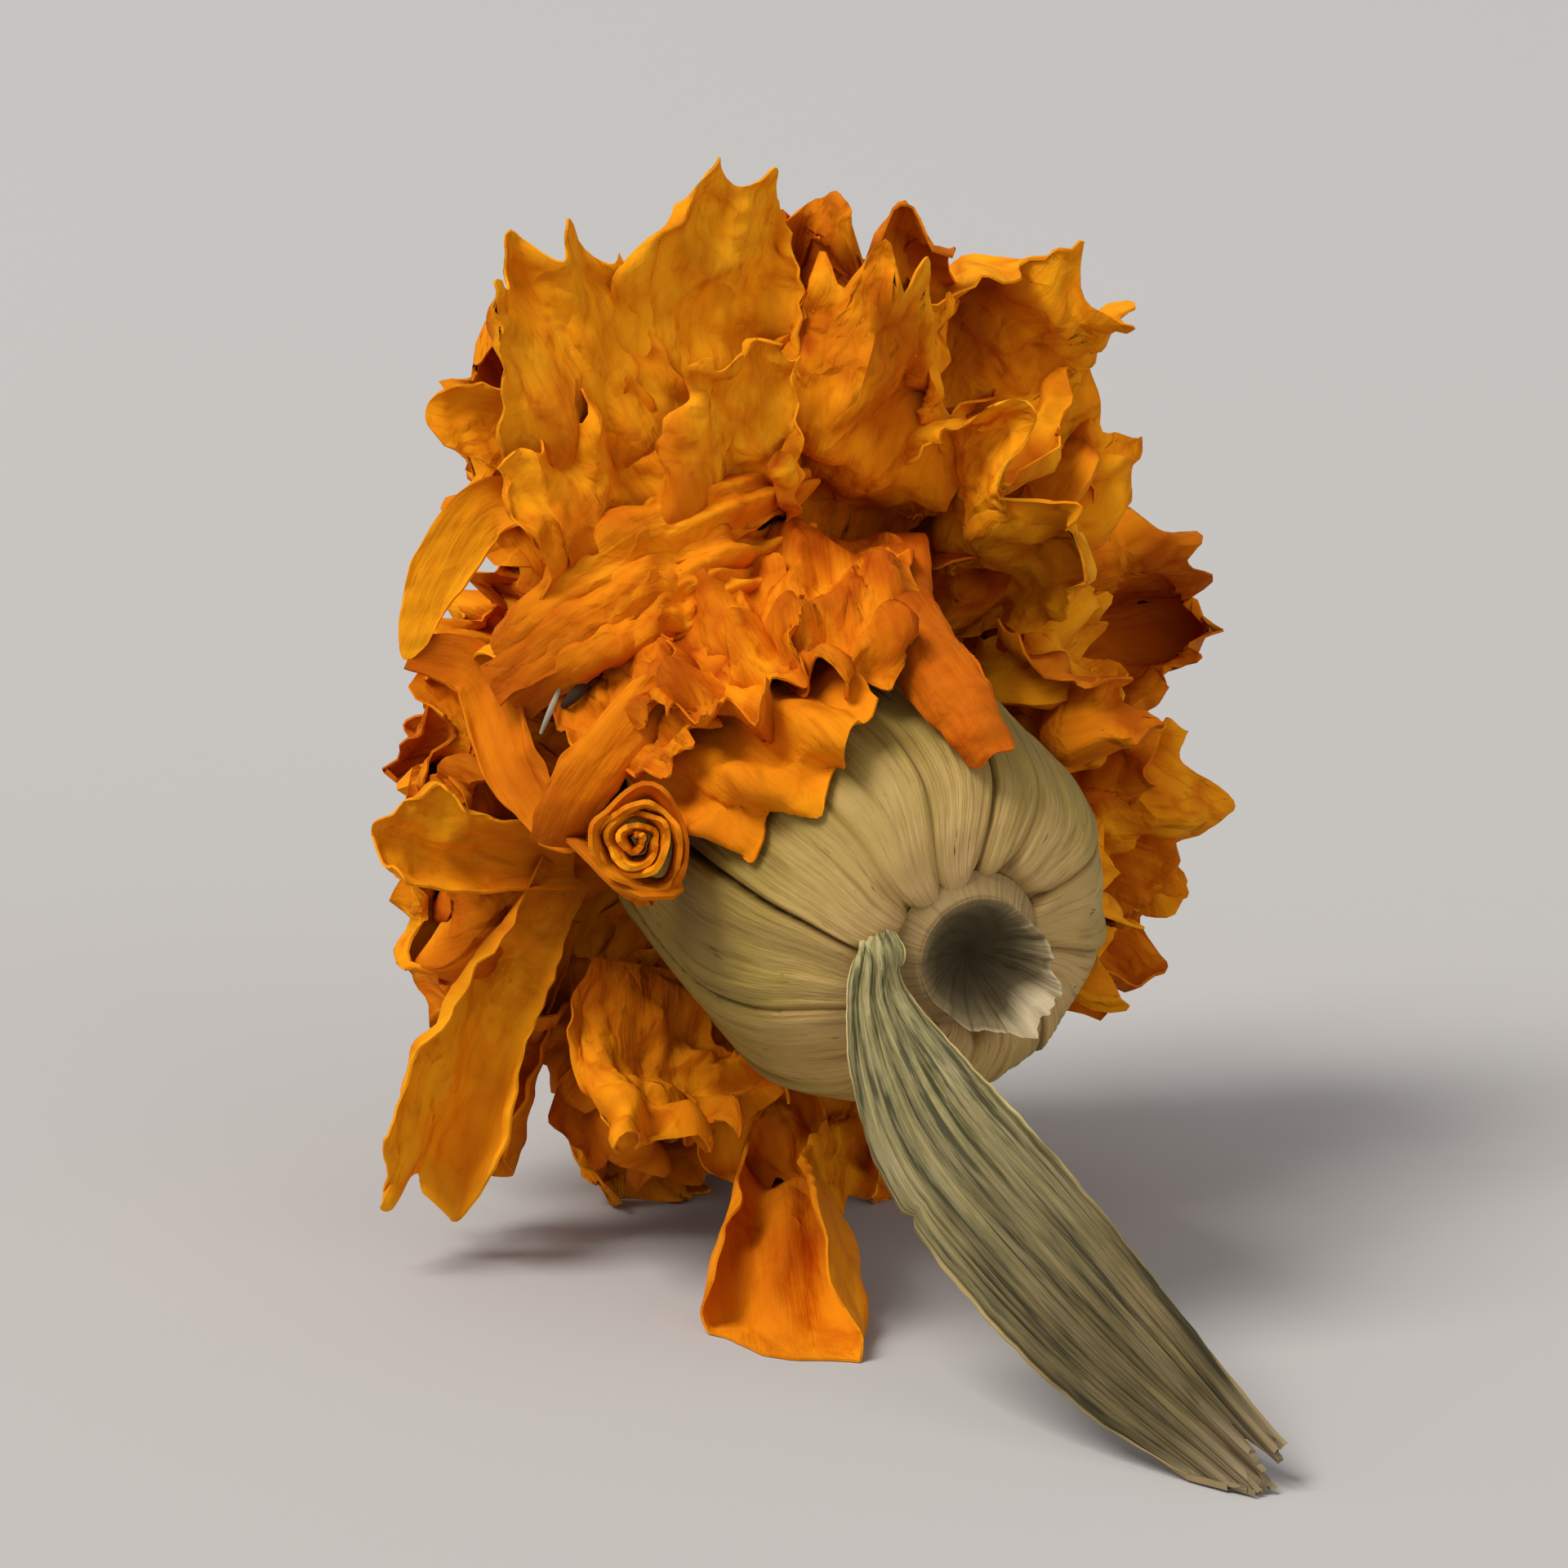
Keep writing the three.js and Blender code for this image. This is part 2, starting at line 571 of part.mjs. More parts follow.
// The head's own axes in the flower: left and near, up, and the way its face looks.
function headMatrix() {
  const [turn, rise] = [radians(HEAD_TURN), radians(HEAD_RISE)];
  const level = new THREE.Vector3(-Math.sin(turn), Math.cos(turn), 0);
  const face = level.multiplyScalar(Math.cos(rise)).setZ(Math.sin(rise));
  const left = new THREE.Vector3(-Math.cos(turn), -Math.sin(turn), 0);
  return new THREE.Matrix4().makeBasis(left, face.clone().cross(left), face).setPosition(...BASE_PLACE);
}

function build() {
  const toFlower = headMatrix();
  const floor = new THREE.BoxGeometry(200, 200, 40).translate(0, 0, -20);
  const floorForHead = solidOf(floor.clone().applyMatrix4(toFlower.clone().invert()));
  const floorForLeaf = solidOf(floor.clone().translate(0, 0, -BASE_PLACE[2]));
  const head = new THREE.Group();
  head.applyMatrix4(toFlower);
  head.add(
    piece('involucre', cupSolid(), COLOURS.cup, 0.75),
    piece('peduncle', stemSolid(), COLOURS.stem, 0.8),
    piece('ray_petals', bloomSolid(floorForHead), COLOURS.petal, 0.7),
    piece('disc_florets', discSolid(), COLOURS.disc, 0.8),
  );
  const leaf = new THREE.Group();
  leaf.position.set(...BASE_PLACE);
  leaf.add(piece('leaf', leafSolid(floorForLeaf), COLOURS.leaf, 0.75));
  const flower = new THREE.Group();
  flower.add(head, leaf);
  return flower;
}

export default build();
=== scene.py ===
# A dried marigold head lying on its petals: the finished look of the petals, disc, cup, stem and leaf.

import math

import bpy
import numpy as np
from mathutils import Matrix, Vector
from mathutils.bvhtree import BVHTree


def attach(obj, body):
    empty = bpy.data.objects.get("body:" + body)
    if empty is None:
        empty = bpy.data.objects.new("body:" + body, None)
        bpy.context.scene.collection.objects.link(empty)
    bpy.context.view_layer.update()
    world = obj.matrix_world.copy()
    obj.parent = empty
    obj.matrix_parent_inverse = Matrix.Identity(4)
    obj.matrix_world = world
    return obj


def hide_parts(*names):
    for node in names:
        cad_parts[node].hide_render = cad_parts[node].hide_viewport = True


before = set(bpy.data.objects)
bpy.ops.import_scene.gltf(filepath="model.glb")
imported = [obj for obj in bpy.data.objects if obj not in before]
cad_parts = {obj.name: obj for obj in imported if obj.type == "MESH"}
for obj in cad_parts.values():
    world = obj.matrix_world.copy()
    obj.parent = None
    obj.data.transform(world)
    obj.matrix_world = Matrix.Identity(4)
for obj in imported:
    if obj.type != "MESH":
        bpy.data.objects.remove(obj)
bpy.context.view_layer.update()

MM = 0.001

# How the head lies, in millimetres and degrees: the middle of the cup's base, its turn and rise.
BASE_PLACE = np.array([4.8, -6.5, 13.6])
HEAD_TURN = math.radians(26.3)
HEAD_RISE = math.radians(5.9)

# The cup of fused bracts: its outline as radius and height, and what its bracts do to it.
CUP_OUTLINE = [(2.4, 0.0), (4.6, 0.45), (6.4, 2.3), (7.3, 5.6), (7.2, 9.4), (6.6, 13.2)]
CUP_TOOTH = 1.7
CUP_WALL = 1.3
CUP_FLOOR = 1.3
CUP_CLEAR = 0.3
CUP_STEPS = (560, 110)
CUP_LONG = 14.0

# Where its bracts meet, in degrees round, how far those lines turn at the base, and where the
# bracts end round the stem.
CUP_SEAMS = [-18, 14, 48, 75, 103, 122, 158, 194, 230, 268, 305]
SEAM_STRENGTHS = [0.45, 1, 0.3, 0.5, 0.85, 0.5, 0.7, 0.6, 0.8, 0.4, 0.35]
SEAM_DRIFT = math.radians(10)
LIP_RADIUS = 2.6

# Rings of petals from the outside in, as in the solids: count, root radius and height, lean, length
# as millimetres and a share, width, the open sector, and bends as place, degrees and radius.
RINGS = [
    (10, (4.2, 15.5), 80, (9.5, 0.22), 7.6, (-50, 122), ((0.26, -84, 2.0), (0.7, 16, 3.0))),
    (10, (4.4, 16.3), 80, (2, 0.84), 8.6, (-62, 104), ((0.3, -40, 3.0), (0.72, 34, 2.5))),
    (10, (4.8, 17.4), 72, (1, 0.98), 8.6, (20, 66), ((0.4, -18, 3.5), (0.8, -42, 2.2))),
    (8, (4.9, 18.6), 60, (1, 0.86), 8.2, (20, 40), ((0.45, 20, 3.5), (0.76, -58, 2.0))),
    (7, (5.0, 19.8), 44, (3, 0.5), 7.4, (0, 0), ((0.5, 26, 3.0), (0.8, -50, 2.0))),
    (5, (5.4, 20.8), 26, (5, 0.1), 5.6, (0, 0), ((0.55, 34, 2.5),)),
]

# Smaller petals between them, which only the finished look has.
FILL_RINGS = [
    (11, (4.6, 16.0), 84, (5.0, 0.25), 6.0, (-50, 122), ((0.3, -55, 2.0), (0.6, 60, 1.5))),
    (12, (5.0, 16.9), 78, (3.0, 0.6), 6.4, (14, 106), ((0.35, -25, 2.5), (0.7, 60, 1.5))),
    (14, (5.2, 18.0), 66, (3.0, 0.5), 6.4, (16, 46), ((0.4, 20, 2.5), (0.65, -60, 1.6))),
    (12, (5.2, 19.4), 50, (4.0, 0.4), 6.0, (0, 0), ((0.4, 25, 2.0), (0.7, -60, 1.4))),
    (10, (5.0, 20.6), 30, (4.5, 0.2), 5.0, (0, 0), ((0.5, 30, 2.0), (0.8, -60, 1.2))),
]

# How far the rings' petals reach from the axis: the mean, what its waves add on the left, upwards and
# across, and a notch's depth with its place and width in degrees.
REACH = dict(mean=16.75, left=-2.4, up=3.25, tall=-2.0, notch=3, notch_at=25, notch_wide=20)

# Petals that stand out one by one, as in the solids: path as degrees round from the left, radius and
# height, widths along it, and the way the width lies, the arch and the ruffle where they have one.
SINGLES = [
    # Painted shade: these two crumpled petals get low tones, for the shade their neighbours cast.
    dict(path=[(66, 7, 17), (62, 9.4, 14), (55, 9.6, 9.5), (50, 9.3, 4.4)], widths=[4.5, 7, 7.4, 5],
         ruffle=(0.5, 3), crush=1.3, ragged=0.6, tone=0.3),
    dict(path=[(98, 7, 17), (92, 9.3, 14.5), (81, 9.6, 9), (71, 9.2, 4)], widths=[4, 6.4, 6.8, 5],
         ruffle=(0.5, 2), crush=1.3, ragged=0.6, tone=0.25),
    dict(path=[(46, 7, 17), (42, 9.6, 13.5), (38, 9.9, 9.6), (38, 9.7, 6)], widths=[3.4, 4.6, 4.6, 3.4],
         ruffle=(0.4, 1), crush=1.1, ragged=0.6, tone=0.35),
    dict(path=[(52, 7, 16), (47, 8.6, 12), (47, 8.5, 6.5), (49, 7.9, 1.6)], widths=[4, 6.4, 7.6, 7.2],
         ruffle=(0.6, 3), crush=0.4, rolls=40, tip=-60, ragged=0.22, lobes=2, lobe_rise=0.02, tone=0.45),
    # Painted shade: this rolled petal's tone lies below the usual range, for the shade its neighbours cast on
    # it.
    dict(path=[(118, 7, 17), (112, 9.4, 14.5), (95, 9.1, 8), (93, 8.3, 3.4), (101, 6.2, 0.6)],
         widths=[2.8, 3.1, 2.8, 2.8, 2.6], side=(-0.82, 0.53, -0.2), arch=0.9, crush=0.45, rolls=70, tip=0,
         ragged=0.05, lobes=1, lobe_rise=-0.03, round_end=0.25, tone=-0.55),
    dict(path=[(7, 10.4, 10.2), (18, 10.6, 9.4), (30, 10.5, 8.8), (44, 10.4, 8.6)],
         widths=[1.8, 2.2, 2.2, 1.8], side=(0.75, 0.38, 0.54), arch=0.3, crush=0.3, rolls=30, tip=0,
         ragged=0.3, lobes=0),
    dict(path=[(26, 13.8, 17.4), (27, 11.8, 16), (16, 10.7, 13.4), (7, 9.5, 11)],
         widths=[1.4, 2, 2.2, 1.6], side=(0.72, -0.61, 0.11), arch=0.3, crush=0.25, rolls=30, tip=0,
         ragged=0.2, lobes=0),
    dict(path=[(58, 11, 16), (49, 14.6, 17), (37, 14.3, 17.5), (26, 13.9, 17.4)],
         widths=[1.6, 1.9, 2, 1.1], side=(0.71, 0.41, 0.54), crush=0.2, rolls=15, tip=0, ragged=0.1,
         lobes=0, tone=0.9),
    dict(path=[(-8, 7, 15.5), (-3, 11.2, 15.6), (1.5, 13.8, 16)], widths=[3, 3.2, 4.4], arch=0.9, crush=0.6,
         ruffle=(0.3, 1.6), rolls=40, tip=-6, ragged=0.1, lobes=1, lobe_rise=0.03, round_end=0.35, tone=0.8),
    dict(path=[(-14, 7.5, 15.6), (-30, 11.5, 14.8), (-46, 18, 15.3)], widths=[2.6, 3.2, 5.6], arch=0.9,
         ruffle=(0.8, 1.3), crush=0.6, rolls=50, tip=0, ragged=0.1, lobes=2, lobe_rise=-0.05, tone=1.1),
    # Painted shade: a lower tone for the shade of the petals round it.
    dict(path=[(-30, 8, 17), (-44, 11.8, 16.9), (-54, 16.2, 16.9)], widths=[2.2, 3.2, 4.4], arch=0.8,
         ruffle=(0.9, 1.6), crush=0.8, rolls=70, tip=0, ragged=0.2, lobes=2, lobe_rise=-0.04, tone=0.5),
    dict(path=[(-50, 7, 15), (-56, 9.4, 12.6), (-64, 10.6, 9.8)], widths=[4, 6.5, 7], side=(0.98, 0.2, 0),
         ruffle=(0.7, 3), crush=1.1),
    dict(path=[(-92, 7, 16), (-88, 10.2, 12.4), (-80, 11.6, 8), (-70, 14.8, 0)], widths=[3, 2.8, 4.2, 8.6],
         side=(0.62, -0.08, 0.78), arch=1.6, ruffle=(0.5, 2), crush=0.5, rolls=70, tip=0,
         ragged=0.1, lobes=1, lobe_rise=0.05, tone=0.45),
    dict(path=[(-112, 7, 16.5), (-114, 12, 16), (-115, 17.2, 15.5)], widths=[4, 5.6, 4.6], arch=0.6, tip=0),
    dict(path=[(55, 6, 18), (55, 9.4, 16.2), (55, 9.9, 13.6)], widths=[5, 10, 11.2], side=(-0.97, 0.23, 0),
         crush=0.4, rolls=25, tip=-150, ragged=0.3, tone=0.8),
    dict(path=[(62, 6, 18.5), (62, 9.8, 17), (62, 10.4, 14.8)], widths=[5, 9, 10.4], side=(-0.96, 0.27, 0),
         crush=0.4, rolls=25, tip=-150, ragged=0.3, tone=0.8),
    dict(path=[(64, 7.5, 17), (64, 14, 15.8), (66.5, 21.8, 17)], widths=[4, 7, 5.4], side=(1, 0.1, 0),
         ruffle=(0.4, 2), crush=0.8, tip=0, ragged=0.5, tone=1.0),
    dict(path=[(66, 11, 16.5), (58, 15.5, 17.2), (51, 18.2, 18)], widths=[3.5, 3.4, 2.2], arch=0.4,
         crush=0.5, rolls=40, tip=0, ragged=0.3, lobes=0, tone=0.6),
    dict(path=[(82, 7.5, 17), (80, 13, 15.8), (83, 18, 16.4), (87, 21.8, 17)], widths=[4, 7, 7.2, 4.4],
         ruffle=(0.5, 2), crush=0.7, lobes=2, lobe_rise=-0.04, tip=0, ragged=0.4,
         tone=1.3),
    dict(path=[(80, 8, 16.5), (80, 12.3, 13.8), (83, 17, 14.6)], widths=[5, 5.6, 3.6], arch=0.6, tone=1.3),
    dict(path=[(62, 8, 16.5), (60, 12.2, 14.3), (62, 16.6, 15.3)], widths=[5, 7.4, 6.4], ruffle=(0.5, 3),
         crush=1.3),
]

# Narrow folds that lie over each other across the front, which only the finished look has.
BANDS = [
    dict(path=[(33, 12.6, 15.4), (44, 12.8, 13.9), (60, 12.2, 13.4), (75, 11.7, 13.6), (92, 11, 15)],
         widths=[1.6, 2.3, 2.7, 2.3, 1.6], side=(0.12, 0.71, 0.78), arch=0.7, ruffle=(0.22, 2.6), crush=0.8,
         rolls=50, tip=0, ragged=0.4, lobes=0, tone=0.7),
    dict(path=[(27, 12, 14.8), (42, 11.9, 13.0), (58, 11.4, 12.6), (71, 10.7, 12.7), (90, 10, 14)],
         widths=[1.5, 2.1, 2.2, 2.4, 1.6], side=(0.16, 0.68, 0.8), arch=0.8, ruffle=(0.25, 2.2), crush=0.8,
         rolls=60, tip=0, ragged=0.4, lobes=0, tone=0.45),
    dict(path=[(25, 11.4, 14.2), (40, 11.1, 12.4), (54, 10.3, 12.1), (68, 9.8, 12), (90, 9.2, 13.2)],
         widths=[1.4, 1.9, 2.2, 1.9, 1.5], side=(0.1, 0.73, 0.75), arch=0.7, ruffle=(0.2, 2.8), crush=0.8,
         rolls=45, tip=0, ragged=0.4, lobes=0, tone=0.6),
]

# Seeds and chaff in the hollow beside the roll: both ends as degrees round, radius and height, the
# width, and how pale they are.
CHAFF = [
    ((37, 10.1, 12.7), (30, 10.3, 12.9), 0.38, 0.0),
    ((24, 10.6, 12.9), (33, 10.6, 13.2), 0.16, 0.55),
    ((28, 9.4, 13.7), (37, 10.0, 12.9), 0.14, 0.75),
    ((26, 9.9, 13.1), (33, 9.7, 13.1), 0.35, 0.1),
]

# Which way the slivers face, in the head.
CHAFF_FACES = (0.428, 0.347, -0.835)

# The broken stem under the cup: its radius, how far it stands out all round and where it is torn, and
# the angle of that side.
STEM = dict(flare=2.25, stub=0.07, torn=1.9, tear=225)
STEM_STEPS = (144, 30, 24)

# The leaf's middle line from the middle of the cup's base, its widths, and the way its width lies.
LEAF_PATH = [
    (-3.1, -1.2, 1.0), (-3.05, -2.4, 0.6), (-3.0, -2.75, -0.9), (-2.2, -3.6, -3.0), (-0.8, -5.2, -5.2),
    (2.0, -8.6, -7.7), (5.0, -12.0, -10.1), (9.2, -16.0, -13.1),
]
LEAF_WIDTHS = [0.9, 1.3, 2.0, 3.6, 4.8, 5.0, 4.4, 2.8]
LEAF_SIDE = (0.74, 0.17, 0.65)
LEAF_THICK = 0.2
LEAF_STEPS = (90, 180)

# The disc: its outline as radius and height, and its florets' outline as height and radius.
DISC = [(0.01, 20.7), (4.1, 20.7), (4.1, 22.9), (2.46, 23.7), (0.01, 24.0)]
FLORETS = dict(count=130, spread=3.75, crown=24.0, fall=1.1, sunk=0.4, tall=(1.1, 1.9))
FLORET = [(0, 0.2), (0.5, 0.22), (0.8, 0.3), (1.0, 0.36), (1.02, 0.26), (0.6, 0.12)]

# The petal rolled up against the cup, as in the solids, with a floor on how dark the painted shade on it
# gets.
ROLL = dict(root=(4, 8.4, 14), place=(17, 9.7, 6.2), looks=(0.43, 0.35, -0.83), radius=1.6, turns=4.6,
            width=3.0, thick=0.17, tone=0.85, painted_shade_limit=0.7)

PETAL_THICK = 0.09

# Edges that turn by more than this stay sharp, and the turn that spreads points evenly.
SHARP_EDGE = math.radians(55)
GOLDEN_TURN = math.pi * (3 - math.sqrt(5))

# Crumpled tissue: the sizes of its long creases, and the sizes and heights of its facets.
CREASES = (6.0, 4.1, 2.6)
FACETS = ((3.4, 0.55), (1.9, 0.6), (1.1, 0.55), (0.7, 0.4))

# How open a petal's points lie, for the painted shade that darkens them where other things lie close: rays,
# how far they look and start, and on which points.
SHADE_RAYS = dict(rays=12, far=4.0, lift=0.12, coarse=4, cup_inset=0.7, floor=60.0)

RING_STEPS = (32, 44)
FILL_STEPS = (20, 28)
SINGLE_STEPS = (44, 60)
ROLL_STEPS = (10, 200)

# How many of the rings are in the outer piece, and of the single petals in the near one.
OUTER_RINGS = 3
NEAR_SINGLES = 10

# Where random draws start: rings as in the solids, sheets for the first piece of petals.
SEEDS = dict(rings=20423, fills=77, sheets=11, cup=5, shade=6, stem=9, leaf=21, disc=31)

BLACK, WHITE = (0, 0, 0), (1, 1, 1)

# The studio, in metres and watts: the sweep, the lamps' places, strengths, sizes and colours, the sky.
SWEEP = dict(wide=3.0, near=-1.2, far=1.2, radius=0.6, tall=1.8, steps=24)
LAMPS = {
    "key": ((-0.90, -0.48, 1.56), 32.5, 0.9, (1.0, 0.985, 0.965)),
    "fill": ((1.2, -1.35, 0.75), 6.0, 1.5, (0.98, 0.99, 1.0)),
}
LAMP_TARGET = Vector((0, 0, 0.015))
SKY = ((0.98, 0.985, 1.0, 1), 0.46)

CAMERA_RISE = math.radians(15)
CAMERA_FAR = 0.5
CAMERA_SEES = 0.052
CAMERA_TARGET = Vector((-0.0013, -0.0005, 0.0177))


# Shapes

def unit(vector):
    return vector / np.linalg.norm(vector, axis=-1, keepdims=True)


def smooth(x, low, high):
    t = np.clip((x - low) / (high - low), 0.0, 1.0)
    return t * t * (3 - 2 * t)


def spline(points, t, ends="clamp"):
    """Points of a curve through evenly spaced knots, for t from 0 to 1."""
    knots = np.asarray(points, dtype=float)
    run = 0 if ends == "clamp" else 1
    first = knots[0] + run * (knots[0] - knots[1])
    last = knots[-1] + run * (knots[-1] - knots[-2])
    padded = np.concatenate([[first], knots, [last]])
    place = np.clip(np.asarray(t, dtype=float), 0, 1) * (len(knots) - 1)
    index = np.minimum(place.astype(int), len(knots) - 2)
    w = (place - index)[..., None]
    p0, p1, p2, p3 = (padded[index + k] for k in range(4))
    v0, v1 = (p2 - p0) / 2, (p3 - p1) / 2
    return (2 * p1 - 2 * p2 + v0 + v1) * w**3 + (3 * p2 - 3 * p1 - 2 * v0 - v1) * w**2 + v0 * w + p1


def random_source(seed):
    """Evenly spread numbers from 0 to 1, the same ones that the solids draw."""
    state = seed & 0xFFFFFFFF

    def draw():
        nonlocal state
        state = (state + 0x6D2B79F5) & 0xFFFFFFFF
        t = ((state ^ (state >> 15)) * (state | 1)) & 0xFFFFFFFF
        t = ((t + (((t ^ (t >> 7)) * (t | 61)) & 0xFFFFFFFF)) & 0xFFFFFFFF) ^ t
        return (t ^ (t >> 14)) / 4294967296

    return draw


def head_axes():
    """The head's own axes as rows: left and near, up, and the way its face looks."""
    sine, cosine = math.sin(HEAD_TURN), math.cos(HEAD_TURN)
    level = math.cos(HEAD_RISE)
    face = np.array([-sine * level, cosine * level, math.sin(HEAD_RISE)])
    left = np.array([-cosine, -sine, 0.0])
    return np.array([left, np.cross(face, left), face])


AXES = head_axes()


def to_flower(points):
    return points @ AXES + BASE_PLACE


def head_point(round_, radius, height):
    angle = math.radians(round_)
    return np.array([radius * math.cos(angle), radius * math.sin(angle), height])


def angles_round(count):
    return 2 * math.pi * np.arange(count) / count


def circle(angle, radius, height):
    """Points round the head's axis."""
    return np.stack([radius * np.cos(angle), radius * np.sin(angle), height + 0 * angle], axis=-1)


def add_object(name, data):
    thing = bpy.data.objects.new(name, data)
    bpy.context.scene.collection.objects.link(thing)
    return thing


def make_piece(name, node, material, parts, values):
    """A piece from parts of points in millimetres and quads, with named values at its points."""
    points = np.concatenate([part[0] for part in parts])
    starts = np.cumsum([0] + [len(part[0]) for part in parts[:-1]])
    faces = np.concatenate([part[1] + start for part, start in zip(parts, starts)])
    mesh = bpy.data.meshes.new(name)
    mesh.from_pydata(points * MM, [], faces, shade_flat=False)
    mesh.set_sharp_from_angle(angle=SHARP_EDGE)
    for key, value in values.items():
        value = np.asarray(value, dtype=np.float32)
        kind, field = ("FLOAT", "value") if value.ndim == 1 else ("FLOAT_VECTOR", "vector")
        mesh.attributes.new(key, kind, "POINT").data.foreach_set(field, value.ravel())
    mesh.materials.append(material)
    piece = add_object(name, mesh)
    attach(piece, "root")
    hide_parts(node)


def grid_faces(rows, columns, closed=False):
    """Quads of a grid of points, closed round along its columns if asked."""
    i, j = np.meshgrid(np.arange(rows - 1), np.arange(columns if closed else columns - 1), indexing="ij")
    k = (j + 1) % columns
    a, b = i * columns + j, i * columns + k
    return np.stack([a, b, b + columns, a + columns], axis=-1).reshape(-1, 4)


def grid_normals(points):
    """Unit normals of a grid of points."""
    normals = np.cross(np.gradient(points, axis=1), np.gradient(points, axis=0))
    return normals / np.maximum(np.linalg.norm(normals, axis=-1, keepdims=True), 1e-9)


def thin_solid(points, thickness):
    """A closed sheet of some thickness, with both faces and its rim, about a grid of points."""
    rows, columns = points.shape[:2]
    half = grid_normals(points) * thickness / 2
    count = rows * columns
    front = grid_faces(rows, columns)
    index = np.arange(count).reshape(rows, columns)
    rim = np.concatenate([index[0], index[1:, -1], index[-1, -2::-1], index[-2:0:-1, 0]])
    after = np.roll(rim, -1)
    sides = np.stack([rim, rim + count, after + count, after], axis=-1)
    faces = np.concatenate([front, front[:, ::-1] + count, sides])
    return np.concatenate([(points + half).reshape(-1, 3), (points - half).reshape(-1, 3)]), faces


def capped_loops(loops):
    """A closed skin of loops of points that follow each other, the last joined to the first."""
    loops = np.asarray(loops)
    rows, columns = loops.shape[:2]
    return loops.reshape(-1, 3), grid_faces(rows + 1, columns, closed=True) % (rows * columns)


# Crumpled petals

def sheet_grid(columns, rows):
    """Places across a sheet from -1 to 1, and along it from 0 to 1."""
    return np.meshgrid(np.linspace(-1, 1, columns + 1), np.linspace(0, 1, rows + 1))


def fold(points, origin, heading, angle, radius):
    """Bends space beyond a line in the sheet's plane, through origin and across heading."""
    heading = np.asarray(heading, dtype=float)
    heading = heading / np.linalg.norm(heading)
    beside = np.array([heading[1], -heading[0]])
    rel = points[..., :2] - np.asarray(origin)
    s, t = rel @ heading, rel @ beside
    sign = math.copysign(1.0, angle)
    turn = sign * np.minimum(np.maximum(s, 0) / radius, abs(angle))
    beyond = np.maximum(s - abs(angle) * radius, 0)
    arm = sign * radius - points[..., 2]
    reach = arm * np.sin(turn) + beyond * np.cos(turn)
    lift = sign * radius - arm * np.cos(turn) + beyond * np.sin(turn)
    bent = np.empty_like(points)
    bent[..., :2] = np.asarray(origin) + reach[..., None] * heading + t[..., None] * beside
    bent[..., 2] = lift
    return np.where((s > 0)[..., None], bent, points)


def phase(draws):
    """Where a wave begins, by lot, in radians."""
    return 6.3 * draws.random()


def crease(t):
    """A wave with crisp crests, between -1 and 1."""
    return np.arcsin(0.985 * np.sin(2 * math.pi * t)) / math.asin(0.985)


def facets(x, y, draws, size, stretch):
    """Heights of patches that meet in crisp creases, about size wide and longer along the sheet."""
    low = np.array([x.min(), y.min()]) - size
    high = np.array([x.max(), y.max()]) + size
    lean = draws.uniform(-0.5, 0.5)
    count = max(6, int((high - low).prod() / (size * size * stretch)))
    centres = low + (high - low) * draws.random((count, 2))
    lift = draws.uniform(-1, 1, count)
    tilt = draws.uniform(-0.7, 0.7, (count, 2))
    dx, dy = x[..., None] - centres[:, 0], y[..., None] - centres[:, 1]
    across = dx * math.cos(lean) + dy * math.sin(lean)
    along = dy * math.cos(lean) - dx * math.sin(lean)
    far = np.hypot(across / size, along / (size * stretch))
    order = np.argpartition(far, 1, axis=-1)[..., :2]
    near = np.take_along_axis(far, order, axis=-1)
    swap = near[..., 0] > near[..., 1]
    mine = np.where(swap, order[..., 1], order[..., 0])
    gap = np.abs(near[..., 1] - near[..., 0])
    own = [np.take_along_axis(way, mine[..., None], axis=-1)[..., 0] for way in (across, along)]
    lean_part = tilt[mine, 0] * own[0] / size + tilt[mine, 1] * own[1] / size
    height = np.minimum(gap, 0.9) * (lift[mine] + lean_part) * size
    return height, lift[mine] * np.exp(-gap * size / 0.09)


def crumple(x, y, draws):
    """Heights of crumpled tissue, and where its creases lie: above 0 in front, below 0 behind."""
    height, lines = np.zeros_like(x), np.zeros_like(x)
    for size in CREASES:
        lean = (draws.random() - 0.5) * math.pi * (1 - 0.6 * draws.random())
        wander = size * 0.3 * np.sin(y / size * 1.3 + phase(draws)) * draws.random()
        place = (x + wander) * math.cos(lean) + (y + wander) * math.sin(lean)
        patch = 0.5 + 0.5 * np.sin(x / size * 0.9 + y / size * 0.6 + phase(draws))
        height += size * (0.03 + 0.05 * draws.random()) * crease(place / size + draws.random()) * patch
    for size, amount in FACETS:
        bent = x + 0.25 * size * np.sin(y / size * 1.9 + phase(draws))
        other = y + 0.25 * size * np.sin(x / size * 1.7 + phase(draws))
        part, line = facets(bent, other, draws, size, 1.5)
        height += amount * part
        lines += line
    return height, lines


def reach_at(angle):
    whole = REACH["mean"] + REACH["left"] * math.cos(angle) + REACH["up"] * math.sin(angle)
    around = (math.degrees(angle) - REACH["notch_at"] + 180) % 360 - 180
    notch = REACH["notch"] * math.exp(-((around / REACH["notch_wide"]) ** 2))
    return whole + REACH["tall"] * math.cos(2 * angle) - notch


